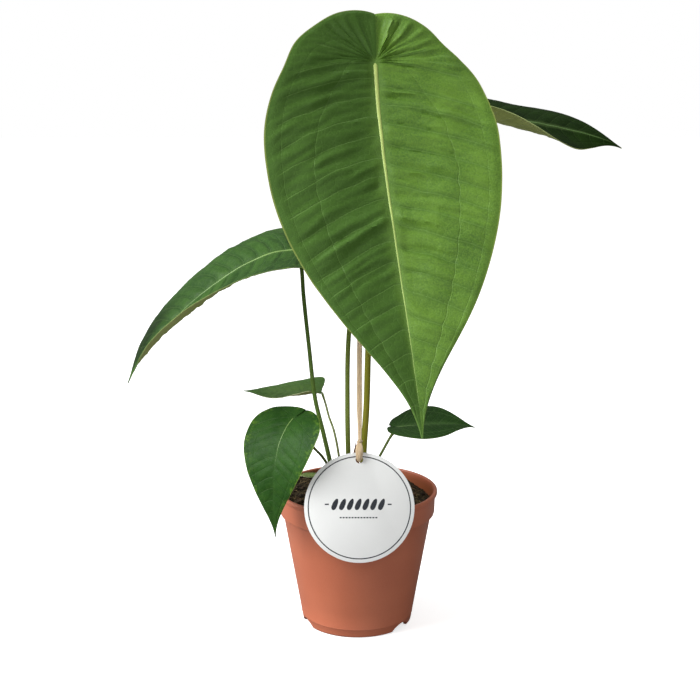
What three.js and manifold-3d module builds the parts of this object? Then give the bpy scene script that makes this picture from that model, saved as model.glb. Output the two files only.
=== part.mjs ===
// Potted anthurium: a foliage plant in a nursery pot, with a card tag tied to its stalks.
// Millimetres, +Z up. The origin is the middle of the pot's underside; -Y is the front.
import * as THREE from 'three';
import { ParametricGeometry } from 'three/addons/geometries/ParametricGeometry.js';
import { mergeVertices } from 'three/addons/utils/BufferGeometryUtils.js';
import Module from 'manifold-3d';

// Pot
const potHeight = 103;
const rimRadius = 60;
const baseRadius = 41.2;
const potWall = 1.3;
const collarHeight = 18.5;
const collarStep = 2.6;
const lipHeight = 3.6;
const lipReach = 1.5;
const collarFlare = 0.4;
const floorLift = 5;
const padRadius = 13;
const footRound = 2.2;
const potSegments = 54;

// Drain: rounded notches in the foot and a hole through the floor above each
const drainAngles = [-67, 53, 173];
const notchWidth = 19;
const notchHeight = 5.6;
const drainRadius = 3.5;

// Soil and crown
const headspace = 11;
const soilMound = 9;
const crownWidth = 30;
const crownDepth = 21;
const crownHeight = 22;

// Stalks and blades
const bladeThickness = 1;
const stalkScale = 1;
const leafRows = 34;
const leafColumns = 6;
const frontLeafLength = 265.6;
const frontLeafHalfWidth = 83;
const leftLeafLength = 165.5;
const leftLeafHalfWidth = 51.5;
const upperRightLeafLength = 144.5;
const upperRightLeafHalfWidth = 54.5;

// Card tag, its lean against the lip, and the raffia tie
const tagRadius = 39;
const tagThickness = 1;
const tagLean = 12;
const tagRise = 5.1;
const tagShift = 1.2;
const tagHoleRadius = 2.5;
const tagHoleUp = 34;
const tieDiameter = 1.5;

// Gap kept between neighbouring pieces
const gap = 0.3;

const soilLevel = potHeight - headspace;
const degrees = Math.PI / 180;

const wasm = await Module();
wasm.setup();

function point(x, y, z = 0) {
  return new THREE.Vector3(x, y, z);
}

// Manifold solid of a closed geometry
function toSolid(geometry) {
  const bare = geometry.clone();
  bare.deleteAttribute('normal');
  bare.deleteAttribute('uv');
  const merged = mergeVertices(bare, 1e-4);
  const position = merged.getAttribute('position').array;
  const mesh = new wasm.Mesh({
    numProp: 3,
    vertProperties: Float32Array.from(position),
    triVerts: Uint32Array.from(merged.index.array),
  });
  mesh.merge();
  return new wasm.Manifold(mesh);
}

function toGeometry(solid) {
  const mesh = solid.getMesh();
  const geometry = new THREE.BufferGeometry();
  geometry.setAttribute('position', new THREE.BufferAttribute(mesh.vertProperties, 3));
  geometry.setIndex(new THREE.BufferAttribute(mesh.triVerts, 1));
  geometry.computeVertexNormals();
  return geometry;
}

function material(color, roughness, side = THREE.FrontSide) {
  return new THREE.MeshStandardMaterial({ color, roughness, metalness: 0, side });
}

const terracottaPlastic = material('#b8644a', 0.5);
const peat = material('#3a2a1e', 0.95);
const bark = material('#4a3527', 0.9);
const glossyLeaf = material('#2f5a2a', 0.35);
const oliveStalk = material('#6f7a35', 0.45);
const greenStalk = material('#44662f', 0.45);
const paleStalk = material('#9aab5a', 0.5);
const drySheath = material('#8a4f35', 0.8);
const crownGreen = material('#5c5a30', 0.7);
const whiteCard = material('#e6e8e8', 0.6);
const raffia = material('#cda97c', 0.75);

function addPart(parent, name, geometry, meshMaterial) {
  const mesh = new THREE.Mesh(geometry, meshMaterial);
  mesh.name = name;
  parent.add(mesh);
  return mesh;
}

const group = new THREE.Group();
const pottedPlant = new THREE.Group();
group.add(pottedPlant);

// ---- Pot: turned shell with a raised floor, a collar and a rolled lip ----

const collarBottom = potHeight - collarHeight;
const lipBottom = potHeight - lipHeight;
const collarRadius = rimRadius - lipReach;
const neckRadius = collarRadius - collarFlare - collarStep;
const floorTop = floorLift + potWall;

// Inner radius of the pot's wall at a height above the floor
function wallInside(z) {
  const share = (z - footRound) / (collarBottom - footRound);
  return THREE.MathUtils.lerp(baseRadius, neckRadius, share) - potWall;
}

function turned(profile, segments) {
  const geometry = new THREE.LatheGeometry(profile.map(([r, z]) => new THREE.Vector2(r, z)), segments);
  geometry.rotateX(Math.PI / 2);
  return geometry;
}

const potProfile = [
  [0, 0],
  [padRadius, 0],
  [padRadius + 2, floorLift],
  [baseRadius - potWall - footRound, floorLift],
  [baseRadius - potWall - footRound, 0],
  [baseRadius - footRound, 0],
  [baseRadius - footRound * 0.3, footRound * 0.3],
  [baseRadius, footRound],
  [neckRadius, collarBottom],
  [neckRadius + collarStep * 0.75, collarBottom + 1],
  [neckRadius + collarStep, collarBottom + 2.6],
  [collarRadius, lipBottom],
  [rimRadius - 0.3, lipBottom + 0.3],
  [rimRadius, lipBottom + 1],
  [rimRadius, potHeight - 1],
  [rimRadius - 0.9, potHeight],
  [collarRadius - potWall + 0.7, potHeight],
  [collarRadius - potWall, potHeight - 1],
  [neckRadius + collarStep - potWall, collarBottom + 3.4],
  [neckRadius - potWall, collarBottom],
  [wallInside(floorTop + 2), floorTop + 2],
  [wallInside(floorTop) - 2, floorTop],
  [padRadius + 2 + potWall, floorTop],
  [padRadius - 0.6, potWall],
  [0, potWall],
];

// Rounded arch, pushed outwards through the foot
function notchCutter(angle) {
  const arch = new THREE.Shape();
  arch.moveTo(-notchWidth / 2, -2);
  arch.lineTo(notchWidth / 2, -2);
  arch.bezierCurveTo(notchWidth * 0.36, 0, notchWidth * 0.34, notchHeight, 0, notchHeight);
  arch.bezierCurveTo(-notchWidth * 0.34, notchHeight, -notchWidth * 0.36, 0, -notchWidth / 2, -2);
  const cutter = new THREE.ExtrudeGeometry(arch, { depth: 12, curveSegments: 7, bevelEnabled: false });
  cutter.rotateX(Math.PI / 2);
  cutter.translate(0, -baseRadius + 6, 0);
  cutter.rotateZ(angle * degrees);
  return toSolid(cutter);
}

function drainCutter(angle) {
  const cutter = new THREE.CylinderGeometry(drainRadius, drainRadius, 6, 20);
  cutter.rotateX(Math.PI / 2);
  cutter.translate(0, -(baseRadius - potWall - footRound - drainRadius - 1.5), floorLift);
  cutter.rotateZ(angle * degrees);
  return toSolid(cutter);
}

let potSolid = toSolid(turned(potProfile, potSegments));
for (const angle of drainAngles) {
  potSolid = potSolid.subtract(notchCutter(angle));
  potSolid = potSolid.subtract(drainCutter(angle));
}
addPart(pottedPlant, 'pot', toGeometry(potSolid), terracottaPlastic);

// ---- Blades: a heart-shaped outline laid on a curving, folding midrib ----

const plant = new THREE.Group();
plant.position.z = soilLevel;
pottedPlant.add(plant);

// Share of the outline's length taken by the veins that fan out of the base
const fanShare = 0.24;

function bezierValue(values, t) {
  if (values.length === 3) {
    const [a, b, c] = values;
    return a * (1 - t) ** 2 + 2 * b * t * (1 - t) + c * t * t;
  }
  const [a, b, c, d] = values;
  return a * (1 - t) ** 3 + 3 * b * t * (1 - t) ** 2 + 3 * c * t * t * (1 - t) + d * t ** 3;
}

// Half outline from the notch round the lobe to the tip: x across, y along the midrib
function bladeOutline(leaf) {
  const lobe = leaf.lobe * leaf.length;
  const widest = leaf.widest * leaf.length;
  const rest = leaf.length - widest;
  const outline = new THREE.CurvePath();
  outline.add(new THREE.CubicBezierCurve(
    new THREE.Vector2(leaf.notch * leaf.halfWidth, -lobe),
    new THREE.Vector2(leaf.lobeReach * leaf.halfWidth, -1.25 * lobe),
    new THREE.Vector2(leaf.halfWidth, widest - leaf.shoulder * (widest + lobe)),
    new THREE.Vector2(leaf.halfWidth, widest),
  ));
  outline.add(new THREE.CubicBezierCurve(
    new THREE.Vector2(leaf.halfWidth, widest),
    new THREE.Vector2(leaf.halfWidth, widest + leaf.fullness * rest),
    new THREE.Vector2(leaf.tipFullness * leaf.halfWidth, widest + 0.72 * rest),
    new THREE.Vector2(0, leaf.length),
  ));
  return outline;
}

// Forward, rightward and upward directions of the blade at share t of its length
function bladeAxes(leaf, t) {
  const share = THREE.MathUtils.clamp(t, 0, 1);
  const heading = bezierValue([0, ...leaf.turn], share) * degrees;
  const pitch = bezierValue(leaf.pitch, share) * degrees;
  const roll = bezierValue(leaf.roll, share) * degrees;
  const forward = point(Math.cos(pitch) * Math.cos(heading), Math.cos(pitch) * Math.sin(heading), Math.sin(pitch));
  const level = point(Math.sin(heading), -Math.cos(heading), 0);
  const right = level.clone().applyAxisAngle(forward, -roll);
  const up = new THREE.Vector3().crossVectors(right, forward);
  return { forward, right, up };
}

function midribPoints(leaf) {
  const steps = 60;
  const points = [point(0, 0, 0)];
  for (let i = 0; i < steps; i += 1) {
    const { forward } = bladeAxes(leaf, (i + 0.5) / steps);
    points.push(points[i].clone().addScaledVector(forward, leaf.length / steps));
  }
  return points;
}

function midribPoint(points, leaf, y) {
  if (y <= 0) {
    return bladeAxes(leaf, 0).forward.multiplyScalar(y);
  }
  const place = Math.min(y / leaf.length, 1) * (points.length - 1);
  const index = Math.min(Math.floor(place), points.length - 2);
  return points[index].clone().lerp(points[index + 1], place - index);
}

// Each half rises from the midrib at its rise angle and bends by its curl towards the margin
function bladeGeometry(leaf, rows = leafRows, columns = leafColumns) {
  const outline = bladeOutline(leaf);
  const spine = midribPoints(leaf);
  const surface = (u, v, target) => {
    const top = v <= 0.5;
    const across = top ? 1 - 4 * v : 4 * v - 3;
    const side = across < 0 ? 0 : 1;
    const edge = outline.getPoint(THREE.MathUtils.clamp(u, 0, 1));
    const from = Math.max(0, (u - fanShare) / (1 - fanShare)) ** 1.05 * leaf.length;
    const x = edge.x * Math.abs(across);
    const y = from + (edge.y - from) * Math.abs(across);
    const share = THREE.MathUtils.clamp(y / leaf.length, 0, 1);
    const { right, up } = bladeAxes(leaf, share);
    const rise = THREE.MathUtils.lerp(leaf.rise[side][0], leaf.rise[side][1], share) * degrees;
    const curl = THREE.MathUtils.lerp(leaf.curl[side][0], leaf.curl[side][1], share) * degrees;
    const bend = (Math.abs(curl) < 1e-4 ? 1e-4 : curl) / leaf.halfWidth;
    const out = (Math.sin(rise + bend * x) - Math.sin(rise)) / bend;
    const lift = (Math.cos(rise) - Math.cos(rise + bend * x)) / bend;
    const sign = Math.sign(across);
    target.copy(midribPoint(spine, leaf, y));
    target.addScaledVector(right, sign * out);
    target.addScaledVector(up, lift);
    const ends = u <= 0 || u >= 1 ? 0 : 1;
    const half = (top ? 0.5 : -0.5) * bladeThickness * ends * (1 - across ** 8);
    const tilt = rise + bend * x;
    target.addScaledVector(up, half * Math.cos(tilt));
    target.addScaledVector(right, -sign * half * Math.sin(tilt));
  };
  return new ParametricGeometry(surface, rows, 4 * columns);
}

// Bases are measured from the middle of the pot at soil level. turn, pitch and roll run
// from base to tip; rise and curl are [left half, right half], each from base to tip.
const leaves = {
  front_leaf: {
    base: [12, -8, 323.2], heading: -82, turn: [20, 4.5], pitch: [-68.6, -64.2, -66.6, -63.4], roll: [9.8, -27.7, 0],
    length: frontLeafLength, halfWidth: frontLeafHalfWidth,
    notch: 0.01, lobe: 0.133, lobeReach: 0.494, shoulder: 0.474, widest: 0.231, fullness: 0.54, tipFullness: 0.068,
    rise: [[12.6, 12.9], [12.6, 12.9]], curl: [[-8, -8.7], [-7.8, -9.2]],
  },
  left_leaf: {
    base: [-42.2, 0, 190.3], heading: 181, turn: [7, 3], pitch: [1.6, -54, -30, -66.5], roll: [9, 4, -13],
    length: leftLeafLength, halfWidth: leftLeafHalfWidth,
    notch: 0.02, lobe: 0.135, lobeReach: 0.52, shoulder: 0.577, widest: 0.348, fullness: 0.9, tipFullness: 0.165,
    rise: [[-12, -13], [26, 28]], curl: [[28, 48], [-45, -30]],
  },
  upper_right_leaf: {
    base: [61.8, 55, 296.8], heading: 3, turn: [6, -6.5], pitch: [-22.6, -9, 1.5, -29.5], roll: [-4.3, 8.4, -4.6],
    length: upperRightLeafLength, halfWidth: upperRightLeafHalfWidth,
    notch: 0.02, lobe: 0.128, lobeReach: 0.476, shoulder: 0.558, widest: 0.372, fullness: 0.586, tipFullness: 0.05,
    rise: [[16.5, 28], [-21, -36.5]], curl: [[-6, -26], [81, 12]],
  },
  small_left_leaf: {
    base: [-27, 25, 79.6], heading: 168, turn: [11.5, 18], pitch: [-8, -3.5, 6.3, 3.5], roll: [16.5, -1, 2],
    length: 60, halfWidth: 22,
    notch: 0.3, lobe: 0.018, lobeReach: 0.98, shoulder: 0.507, widest: 0.19, fullness: 0.525, tipFullness: 0.118,
    rise: [[8.5, -19], [7, 8]], curl: [[49, 2], [-3, -8]],
  },
  low_left_leaf: {
    base: [-45.7, -33, 73.8], heading: -133, turn: [17, 27], pitch: [-30, -78, -94, -101], roll: [0.8, -0.5, 0],
    length: 92.4, halfWidth: 31.3,
    notch: 0.02, lobe: 0.104, lobeReach: 0.505, shoulder: 0.552, widest: 0.131, fullness: 0.354, tipFullness: 0.032,
    rise: [[5.5, 9], [6.7, 6.7]], curl: [[-7.5, -5.5], [-5.5, -6.5]],
  },
  low_right_leaf: {
    base: [28.7, -3.2, 58.6], heading: -7, turn: [10, 10], pitch: [7.5, 4.6, 4, -15.5], roll: [2, -5.4, -6.2],
    length: 58.8, halfWidth: 26.5,
    notch: 0.233, lobe: 0.096, lobeReach: 0.68, shoulder: 0.516, widest: 0.297, fullness: 0.528, tipFullness: 0.11,
    rise: [[10, 21], [6.5, 2]], curl: [[7.5, -4], [-17, -20]],
  },
};

for (const [name, leaf] of Object.entries(leaves)) {
  const blade = addPart(plant, `${name}_blade`, bladeGeometry(leaf), glossyLeaf);
  blade.position.set(...leaf.base);
  blade.rotation.z = leaf.heading * degrees;
}

// ---- Stalks: tapered round stems with a swollen knee just under the blade ----

// Centre of the stalk's rounded top, just under the midrib's start
function kneeCentre(leaf, radius) {
  const { up } = bladeAxes(leaf, 0);
  const turnedUp = up.clone().applyAxisAngle(point(0, 0, 1), leaf.heading * degrees);
  return point(...leaf.base).addScaledVector(turnedUp, -(bladeThickness / 2 + 2 * gap + 0.55 * radius));
}

function stalkGeometry(stalk, grow = 0, rows = 18, sides = 8) {
  const route = new THREE.CatmullRomCurve3(stalk.points);
  const length = route.getLength();
  const surface = (u, v, target) => {
    const row = THREE.MathUtils.clamp(u, 0, 1) * rows;
    const nearFoot = Math.min(row / 2, 1);
    const nearTop = Math.min((rows - row) / 2, 1);
    const footEnd = stalk.foot * (1 - Math.cos(nearFoot * Math.PI / 2));
    const topEnd = stalk.top * (1 - Math.cos(nearTop * Math.PI / 2));
    const middle = THREE.MathUtils.clamp((row - 2) / (rows - 4), 0, 1) * (length - stalk.foot - stalk.top);
    const along = footEnd + middle + stalk.top - topEnd;
    const t = THREE.MathUtils.clamp(along / length, 0, 1);
    const knee = stalk.knee * Math.exp(-(((length - along - 3 * stalk.top) / (3 * stalk.top)) ** 2));
    const round = Math.sin(nearFoot * Math.PI / 2) * Math.sin(nearTop * Math.PI / 2);
    const radius = (THREE.MathUtils.lerp(stalk.foot, stalk.top, t) + knee + grow) * round;
    const forward = route.getTangentAt(t);
    const sideways = new THREE.Vector3().crossVectors(forward, point(1, 0, 0)).normalize();
    const other = new THREE.Vector3().crossVectors(forward, sideways);
    target.copy(route.getPointAt(t));
    const reach = grow * (Math.cos(nearTop * Math.PI / 2) - Math.cos(nearFoot * Math.PI / 2));
    target.addScaledVector(forward, reach);
    target.addScaledVector(sideways, radius * Math.cos(2 * Math.PI * v));
    target.addScaledVector(other, -radius * Math.sin(2 * Math.PI * v));
  };
  return new ParametricGeometry(surface, rows, sides);
}

// Points run from the crown upwards, measured as the blades' bases are
const stalks = {
  front_leaf: {
    foot: 2.5, top: 1.9, knee: 0.5, colour: oliveStalk,
    points: [[4.6, 0, -3], [4.7, 0, 38], [6.8, 0, 73], [7.8, -1, 113], [9.1, -2, 154], [10.7, -3, 227], [11.6, -3, 285]],
  },
  left_leaf: {
    foot: 1.8, top: 1.4, knee: 0.5, colour: greenStalk,
    points: [[-13.5, 0, -3], [-20.7, 0, 32.8], [-25.6, 0, 55], [-31.2, 0, 79.7], [-35.6, 0, 120], [-39.3, 0, 158], [-40.4, 0, 176]],
  },
  upper_right_leaf: {
    foot: 1.9, top: 1.5, knee: 0.4, colour: greenStalk,
    points: [[-6, 4, -3], [-6.6, 4, 30], [-7.3, 5, 72], [-6.3, 7, 126], [1, 15, 184], [18, 29, 236], [42, 45, 277]],
  },
  small_left_leaf: {
    foot: 1, top: 0.8, knee: 0.2, colour: paleStalk,
    points: [[-10.5, 6.5, -3], [-13.9, 8, 34], [-17.5, 12, 51.7], [-21.2, 16, 61.5], [-24, 20.5, 71]],
  },
  low_left_leaf: {
    foot: 1.1, top: 0.9, knee: 0.2, colour: greenStalk,
    points: [[-13, -5, -3], [-20.4, -7, 27], [-25.6, -10, 37.6], [-32.2, -14.5, 46.5], [-40, -23, 60.5]],
  },
  low_right_leaf: {
    foot: 1.2, top: 0.9, knee: 0.3, colour: greenStalk,
    points: [[0, -6, -3], [6.5, -6.6, 18], [11.7, -6, 28.1], [18.5, -5.4, 40.5], [24.6, -4.2, 51.5]],
  },
};

for (const [name, stalk] of Object.entries(stalks)) {
  stalk.foot *= stalkScale;
  stalk.top *= stalkScale;
  stalk.points = stalk.points.map((place) => point(...place));
  stalk.points.push(kneeCentre(leaves[name], stalk.top + stalk.knee));
  addPart(plant, `${name}_stalk`, stalkGeometry(stalk), stalk.colour);
}

// ---- Crown: the short stem that every stalk grows from, with a socket round each foot ----

function crownShape(grow = 0) {
  const ball = new THREE.SphereGeometry(1, 20, 12);
  ball.rotateX(Math.PI / 2);
  ball.scale(crownWidth / 2 + grow, crownDepth / 2 + grow, crownHeight / 2 + grow);
  ball.translate(-4, 0, 5 - crownHeight / 2);
  return ball;
}

const socketTools = Object.values(stalks).map((stalk) => toSolid(stalkGeometry(stalk, gap)));
let crownSolid = toSolid(crownShape());
for (const tool of socketTools) {
  crownSolid = crownSolid.subtract(tool);
}
addPart(plant, 'crown', toGeometry(crownSolid), crownGreen);

// ---- Dry sheath: a pointed brown scale in front of the front leaf's stalk ----

const sheath = {
  base: [-1.4, -8.2, 6], heading: -90, turn: [4, 8], pitch: [95, 92, 78, 80], roll: [0, 0, 0],
  length: 44, halfWidth: 3.4,
  notch: 0.5, lobe: 0.03, lobeReach: 0.8, shoulder: 0.5, widest: 0.4, fullness: 0.5, tipFullness: 0.3,
  rise: [[8, 8], [8, 8]], curl: [[25, 25], [25, 25]],
};
const sheathMesh = addPart(plant, 'dry_sheath', bladeGeometry(sheath, 12, 2), drySheath);
sheathMesh.position.set(...sheath.base);
sheathMesh.rotation.z = sheath.heading * degrees;

// ---- Soil: fills the pot, low at the front right and heaped up at the back left ----

function soilHeight(x, y) {
  const towardsHeap = THREE.MathUtils.smoothstep(-0.5 * x + 0.87 * y, -18, 52);
  const lumps = 0.7 * Math.sin(0.31 * x + 1.3) * Math.cos(0.27 * y - 0.4) + 0.4 * Math.sin(0.63 * y + 0.41 * x);
  const fade = THREE.MathUtils.smoothstep(56 - Math.hypot(x, y), 0, 10);
  return soilMound * towardsHeap + lumps * fade;
}

const soilBottom = floorTop + gap;
const soilEdge = neckRadius + collarStep - potWall - gap - 0.2;
const soilProfile = [
  [0, potWall + gap],
  [padRadius - 1.2, potWall + gap],
  [padRadius + 2 + potWall, soilBottom],
  [wallInside(floorTop) - 2.2, soilBottom],
  [wallInside(floorTop + 2) - gap, floorTop + 2.2],
  [neckRadius - potWall - gap - 0.1, collarBottom + 0.2],
  [soilEdge, collarBottom + 3.8],
  [soilEdge, soilLevel],
  [soilEdge * 0.88, soilLevel],
  [soilEdge * 0.72, soilLevel],
  [soilEdge * 0.54, soilLevel],
  [soilEdge * 0.36, soilLevel],
  [soilEdge * 0.18, soilLevel],
  [0, soilLevel],
];
const soilGeometry = turned(soilProfile, potSegments);
const soilPlaces = soilGeometry.getAttribute('position');
for (let i = 0; i < soilPlaces.count; i += 1) {
  if (Math.abs(soilPlaces.getZ(i) - soilLevel) < 1e-3) {
    soilPlaces.setZ(i, soilLevel + soilHeight(soilPlaces.getX(i), soilPlaces.getY(i)));
  }
}
soilGeometry.translate(0, 0, -soilLevel);
let soilSolid = toSolid(soilGeometry).subtract(toSolid(crownShape(gap)));
for (const tool of socketTools) {
  soilSolid = soilSolid.subtract(tool);
}
const soilBodies = soilSolid.decompose().sort((a, b) => b.volume() - a.volume());
addPart(plant, 'potting_soil', toGeometry(soilBodies[0]), peat);

// ---- Loose pieces on the soil: a fallen young leaf and chips of bark ----

const soilLeaf = {
  base: [-31, 31, 0], heading: 176, turn: [2, 4], pitch: [4, 2, 0, -4], roll: [8, 6, 4],
  length: 15, halfWidth: 4.4,
  notch: 0.2, lobe: 0.06, lobeReach: 0.7, shoulder: 0.5, widest: 0.35, fullness: 0.5, tipFullness: 0.3,
  rise: [[10, 6], [10, 6]], curl: [[-10, -10], [-10, -10]],
};
const soilLeafMesh = addPart(plant, 'soil_leaf', bladeGeometry(soilLeaf, 10, 2), glossyLeaf);
soilLeafMesh.position.set(soilLeaf.base[0], soilLeaf.base[1], soilHeight(-38, 31) + 2);
soilLeafMesh.rotation.z = soilLeaf.heading * degrees;

// A chip lies flat on the soil: [x, y, turn, length, width]
const chips = [
  [40, 12, 25, 10, 5],
  [33, -22, -40, 8, 4.4],
  [-44, -14, 70, 9, 4.6],
  [22, 33, 110, 9, 5],
];
chips.forEach(([x, y, turn, length, width], index) => {
  const outline = new THREE.Shape();
  outline.moveTo(-length / 2, -width * 0.3);
  outline.lineTo(-length * 0.2, -width / 2);
  outline.lineTo(length * 0.4, -width * 0.42);
  outline.lineTo(length / 2, width * 0.1);
  outline.lineTo(length * 0.25, width / 2);
  outline.lineTo(-length * 0.35, width * 0.36);
  outline.closePath();
  const slab = new THREE.ExtrudeGeometry(outline, { depth: 1.6, bevelEnabled: false });
  const chip = addPart(plant, `bark_chip_${index + 1}`, slab, bark);
  chip.position.set(x, y, soilHeight(x, y) + 1.4);
  chip.rotation.z = turn * degrees;
});

// ---- Card tag: a round card that leans on the pot's lip ----

const lean = tagLean * degrees;
const tagUp = point(0, Math.sin(lean), Math.cos(lean));
const tagFront = point(0, -Math.cos(lean), Math.sin(lean));
const lipTouch = point(0, -(rimRadius - 1), potHeight - 1).addScaledVector(tagFront, 1);
const tagCentre = lipTouch.clone()
  .addScaledVector(tagFront, gap + tagThickness / 2)
  .addScaledVector(tagUp, tagRise)
  .add(point(tagShift, 0, 0));

const tag = new THREE.Group();
tag.position.copy(tagCentre);
tag.rotation.x = Math.PI / 2 - lean;
group.add(tag);

const disc = new THREE.Shape();
disc.absarc(0, 0, tagRadius, 0, 2 * Math.PI);
const hole = new THREE.Path();
hole.absarc(0, tagHoleUp, tagHoleRadius, 0, 2 * Math.PI, true);
disc.holes.push(hole);
const card = new THREE.ExtrudeGeometry(disc, { depth: tagThickness, curveSegments: 22, bevelEnabled: false });
card.translate(0, 0, -tagThickness / 2);
addPart(tag, 'name_tag', card, whiteCard);

// ---- Raffia tie: loops round two stalks, drops to the card and passes through its hole ----

// A place given in the card's own directions: across, up the card from its hole, out of its front
function byTagHole(across, up, out) {
  return tagCentre.clone()
    .addScaledVector(tagUp, tagHoleUp + up)
    .addScaledVector(tagFront, out)
    .add(point(across, 0, 0));
}

const overStalks = [
  [3.7, -6.4, 156.6], [8.1, -7, 156], [12.5, -5, 155.4], [13.8, 0, 154.8], [10.5, 5.4, 154], [3.6, 11, 153.2],
  [-3, 14.6, 152.8], [-8.6, 14, 152.4], [-9.8, 9, 152], [-5.6, 4, 151.8], [-1, -2, 150.8],
  [1.1, -7, 146], [1.5, -10, 136], [1.5, -16.5, 118], [1.4, -25, 100], [1.4, -34.8, 82],
].map(([x, y, z]) => point(x, y, z + soilLevel));

const throughTag = [
  [0.3, 13, 0.6], [0, 9.4, 2.5], [0, 6.4, 3.6], [0, 3.4, 3.8], [0, 0.4, 2.7], [0, -0.8, 0],
  [0, 0.4, -2.7], [0, 3.4, -3.8], [0, 6.4, -3.6], [-0.2, 9, -2.6], [-0.6, 11.2, -1.6],
].map(([across, up, out]) => byTagHole(across, up, out));

const tieSection = new THREE.Shape();
tieSection.setFromPoints(Array.from({ length: 8 }, (_, i) => {
  const angle = (i / 8) * 2 * Math.PI;
  return new THREE.Vector2(Math.cos(angle), Math.sin(angle)).multiplyScalar(tieDiameter / 2);
}));
const tieRoute = new THREE.CatmullRomCurve3([...overStalks, ...throughTag]);
const tie = new THREE.ExtrudeGeometry(tieSection, { steps: 76, extrudePath: tieRoute, bevelEnabled: false });
addPart(group, 'raffia_tie', tie, raffia);

export default group;
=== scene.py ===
# Potted anthurium: leaves, stalks, soil, card tag and raffia tie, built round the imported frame.
import math
import random

import bmesh
import bpy
from mathutils import Matrix, Vector, noise


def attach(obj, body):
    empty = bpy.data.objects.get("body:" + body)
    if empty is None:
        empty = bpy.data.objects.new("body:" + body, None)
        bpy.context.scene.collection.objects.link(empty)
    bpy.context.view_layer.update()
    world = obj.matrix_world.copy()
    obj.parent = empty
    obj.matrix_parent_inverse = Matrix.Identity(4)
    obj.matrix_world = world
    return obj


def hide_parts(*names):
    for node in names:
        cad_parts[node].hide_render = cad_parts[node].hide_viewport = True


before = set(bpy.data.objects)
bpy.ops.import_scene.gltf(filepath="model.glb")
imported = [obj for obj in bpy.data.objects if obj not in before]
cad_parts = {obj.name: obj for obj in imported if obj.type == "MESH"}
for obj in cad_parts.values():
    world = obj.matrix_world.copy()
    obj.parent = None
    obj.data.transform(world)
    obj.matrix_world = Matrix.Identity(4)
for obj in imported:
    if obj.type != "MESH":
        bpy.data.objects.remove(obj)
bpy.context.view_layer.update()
mm = 0.001
print("frame loaded:", len(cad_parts), "nodes")


def deselect():
    bpy.ops.object.select_all(action="DESELECT")


def editAll(piece):
    pick(piece)
    bpy.ops.object.mode_set(mode="EDIT")
    bpy.ops.mesh.select_all(action="SELECT")


def leaveEdit():
    bpy.ops.object.mode_set(mode="OBJECT")


def faceOut(piece):
    editAll(piece)
    bpy.ops.mesh.normals_make_consistent(inside=False)
    leaveEdit()


def pick(piece):
    if bpy.context.object and bpy.context.object.mode != "OBJECT":
        bpy.ops.object.mode_set(mode="OBJECT")
    deselect()
    piece.select_set(True)
    bpy.context.view_layer.objects.active = piece


# Studio: camera, three softboxes, a pale floor and a pale room
studio = {
    "cameraPlace": (-0.0054, -0.956, 0.4117),
    "cameraTilt": 78,
    "lens": 68.45,
    "target": (0.0, 0.0, 0.22),
    "softboxes": [
        ("keyLight", (-1.46, -0.40, 1.28), 1.5, 72),
        ("fillLight", (0.5, -1.9, 0.8), 1.4, 10),
        ("topLight", (0.1, 0.4, 1.8), 1.2, 6),
    ],
    "room": 0.28,
    "floorLift": (0.68, 0.82),
}

deselect()
bpy.ops.object.camera_add(
    location=studio["cameraPlace"], rotation=(math.radians(studio["cameraTilt"]), 0, 0)
)
studioCamera = bpy.context.object
studioCamera.name = "studioCamera"
studioCamera.data.lens = studio["lens"]
studioCamera.data.sensor_width = 36
studioCamera.data.clip_start = 0.05
bpy.context.scene.camera = studioCamera
bpy.context.scene.view_settings.view_transform = "Standard"
bpy.context.scene.view_settings.look = "None"

for name, spot, size, power in studio["softboxes"]:
    aim = Vector(studio["target"]) - Vector(spot)
    bpy.ops.object.light_add(
        type="AREA", location=spot, rotation=aim.to_track_quat("-Z", "Y").to_euler()
    )
    bpy.context.object.name = name
    bpy.context.object.data.size = size
    bpy.context.object.data.energy = power


# Nodes: one call adds a node, sets its values and joins its inputs
def put(tree, kind, inputs=None, **settings):
    made = tree.nodes.new("ShaderNode" + kind)
    for name, value in settings.items():
        setattr(made, name, value)
    for key, value in (inputs or {}).items():
        if isinstance(value, bpy.types.NodeSocket):
            tree.links.new(value, made.inputs[key])
        else:
            made.inputs[key].default_value = value
    return made


def calc(tree, operation, a, b=0.0):
    return put(tree, "Math", {0: a, 1: b}, operation=operation).outputs[0]


def times(tree, a, b):
    return calc(tree, "MULTIPLY", a, b)


def absolute(tree, value):
    return calc(tree, "ABSOLUTE", value)


def fadeIn(tree, value, low, high, start=0.0, end=1.0):
    return put(
        tree, "MapRange", {0: value, 1: low, 2: high, 3: start, 4: end},
        interpolation_type="SMOOTHSTEP",
    ).outputs[0]


def tint(tree, share, a, b, blend="MIX"):
    made = put(tree, "Mix", {0: share, 6: a, 7: b}, data_type="RGBA", blend_type=blend)
    return made.outputs[2]


# Lays a colour over another where a mask is, at a share of its strength
def wash(tree, base, mask, share, over):
    return tint(tree, times(tree, mask, share), base, over)


def colour(red, green, blue):
    return (red, green, blue, 1.0)


def startMaterial(name, roughness=0.5, specular=0.5):
    material = bpy.data.materials.new(name)
    material.use_nodes = True
    tree = material.node_tree
    shader = tree.nodes["Principled BSDF"]
    shader.inputs["Roughness"].default_value = roughness
    shader.inputs["Specular IOR Level"].default_value = specular
    return material, tree, shader


def objectPlace(tree):
    return put(tree, "TexCoord").outputs["Object"]


def readAttribute(tree, name):
    return put(tree, "Attribute", attribute_name=name).outputs["Fac"]


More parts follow.
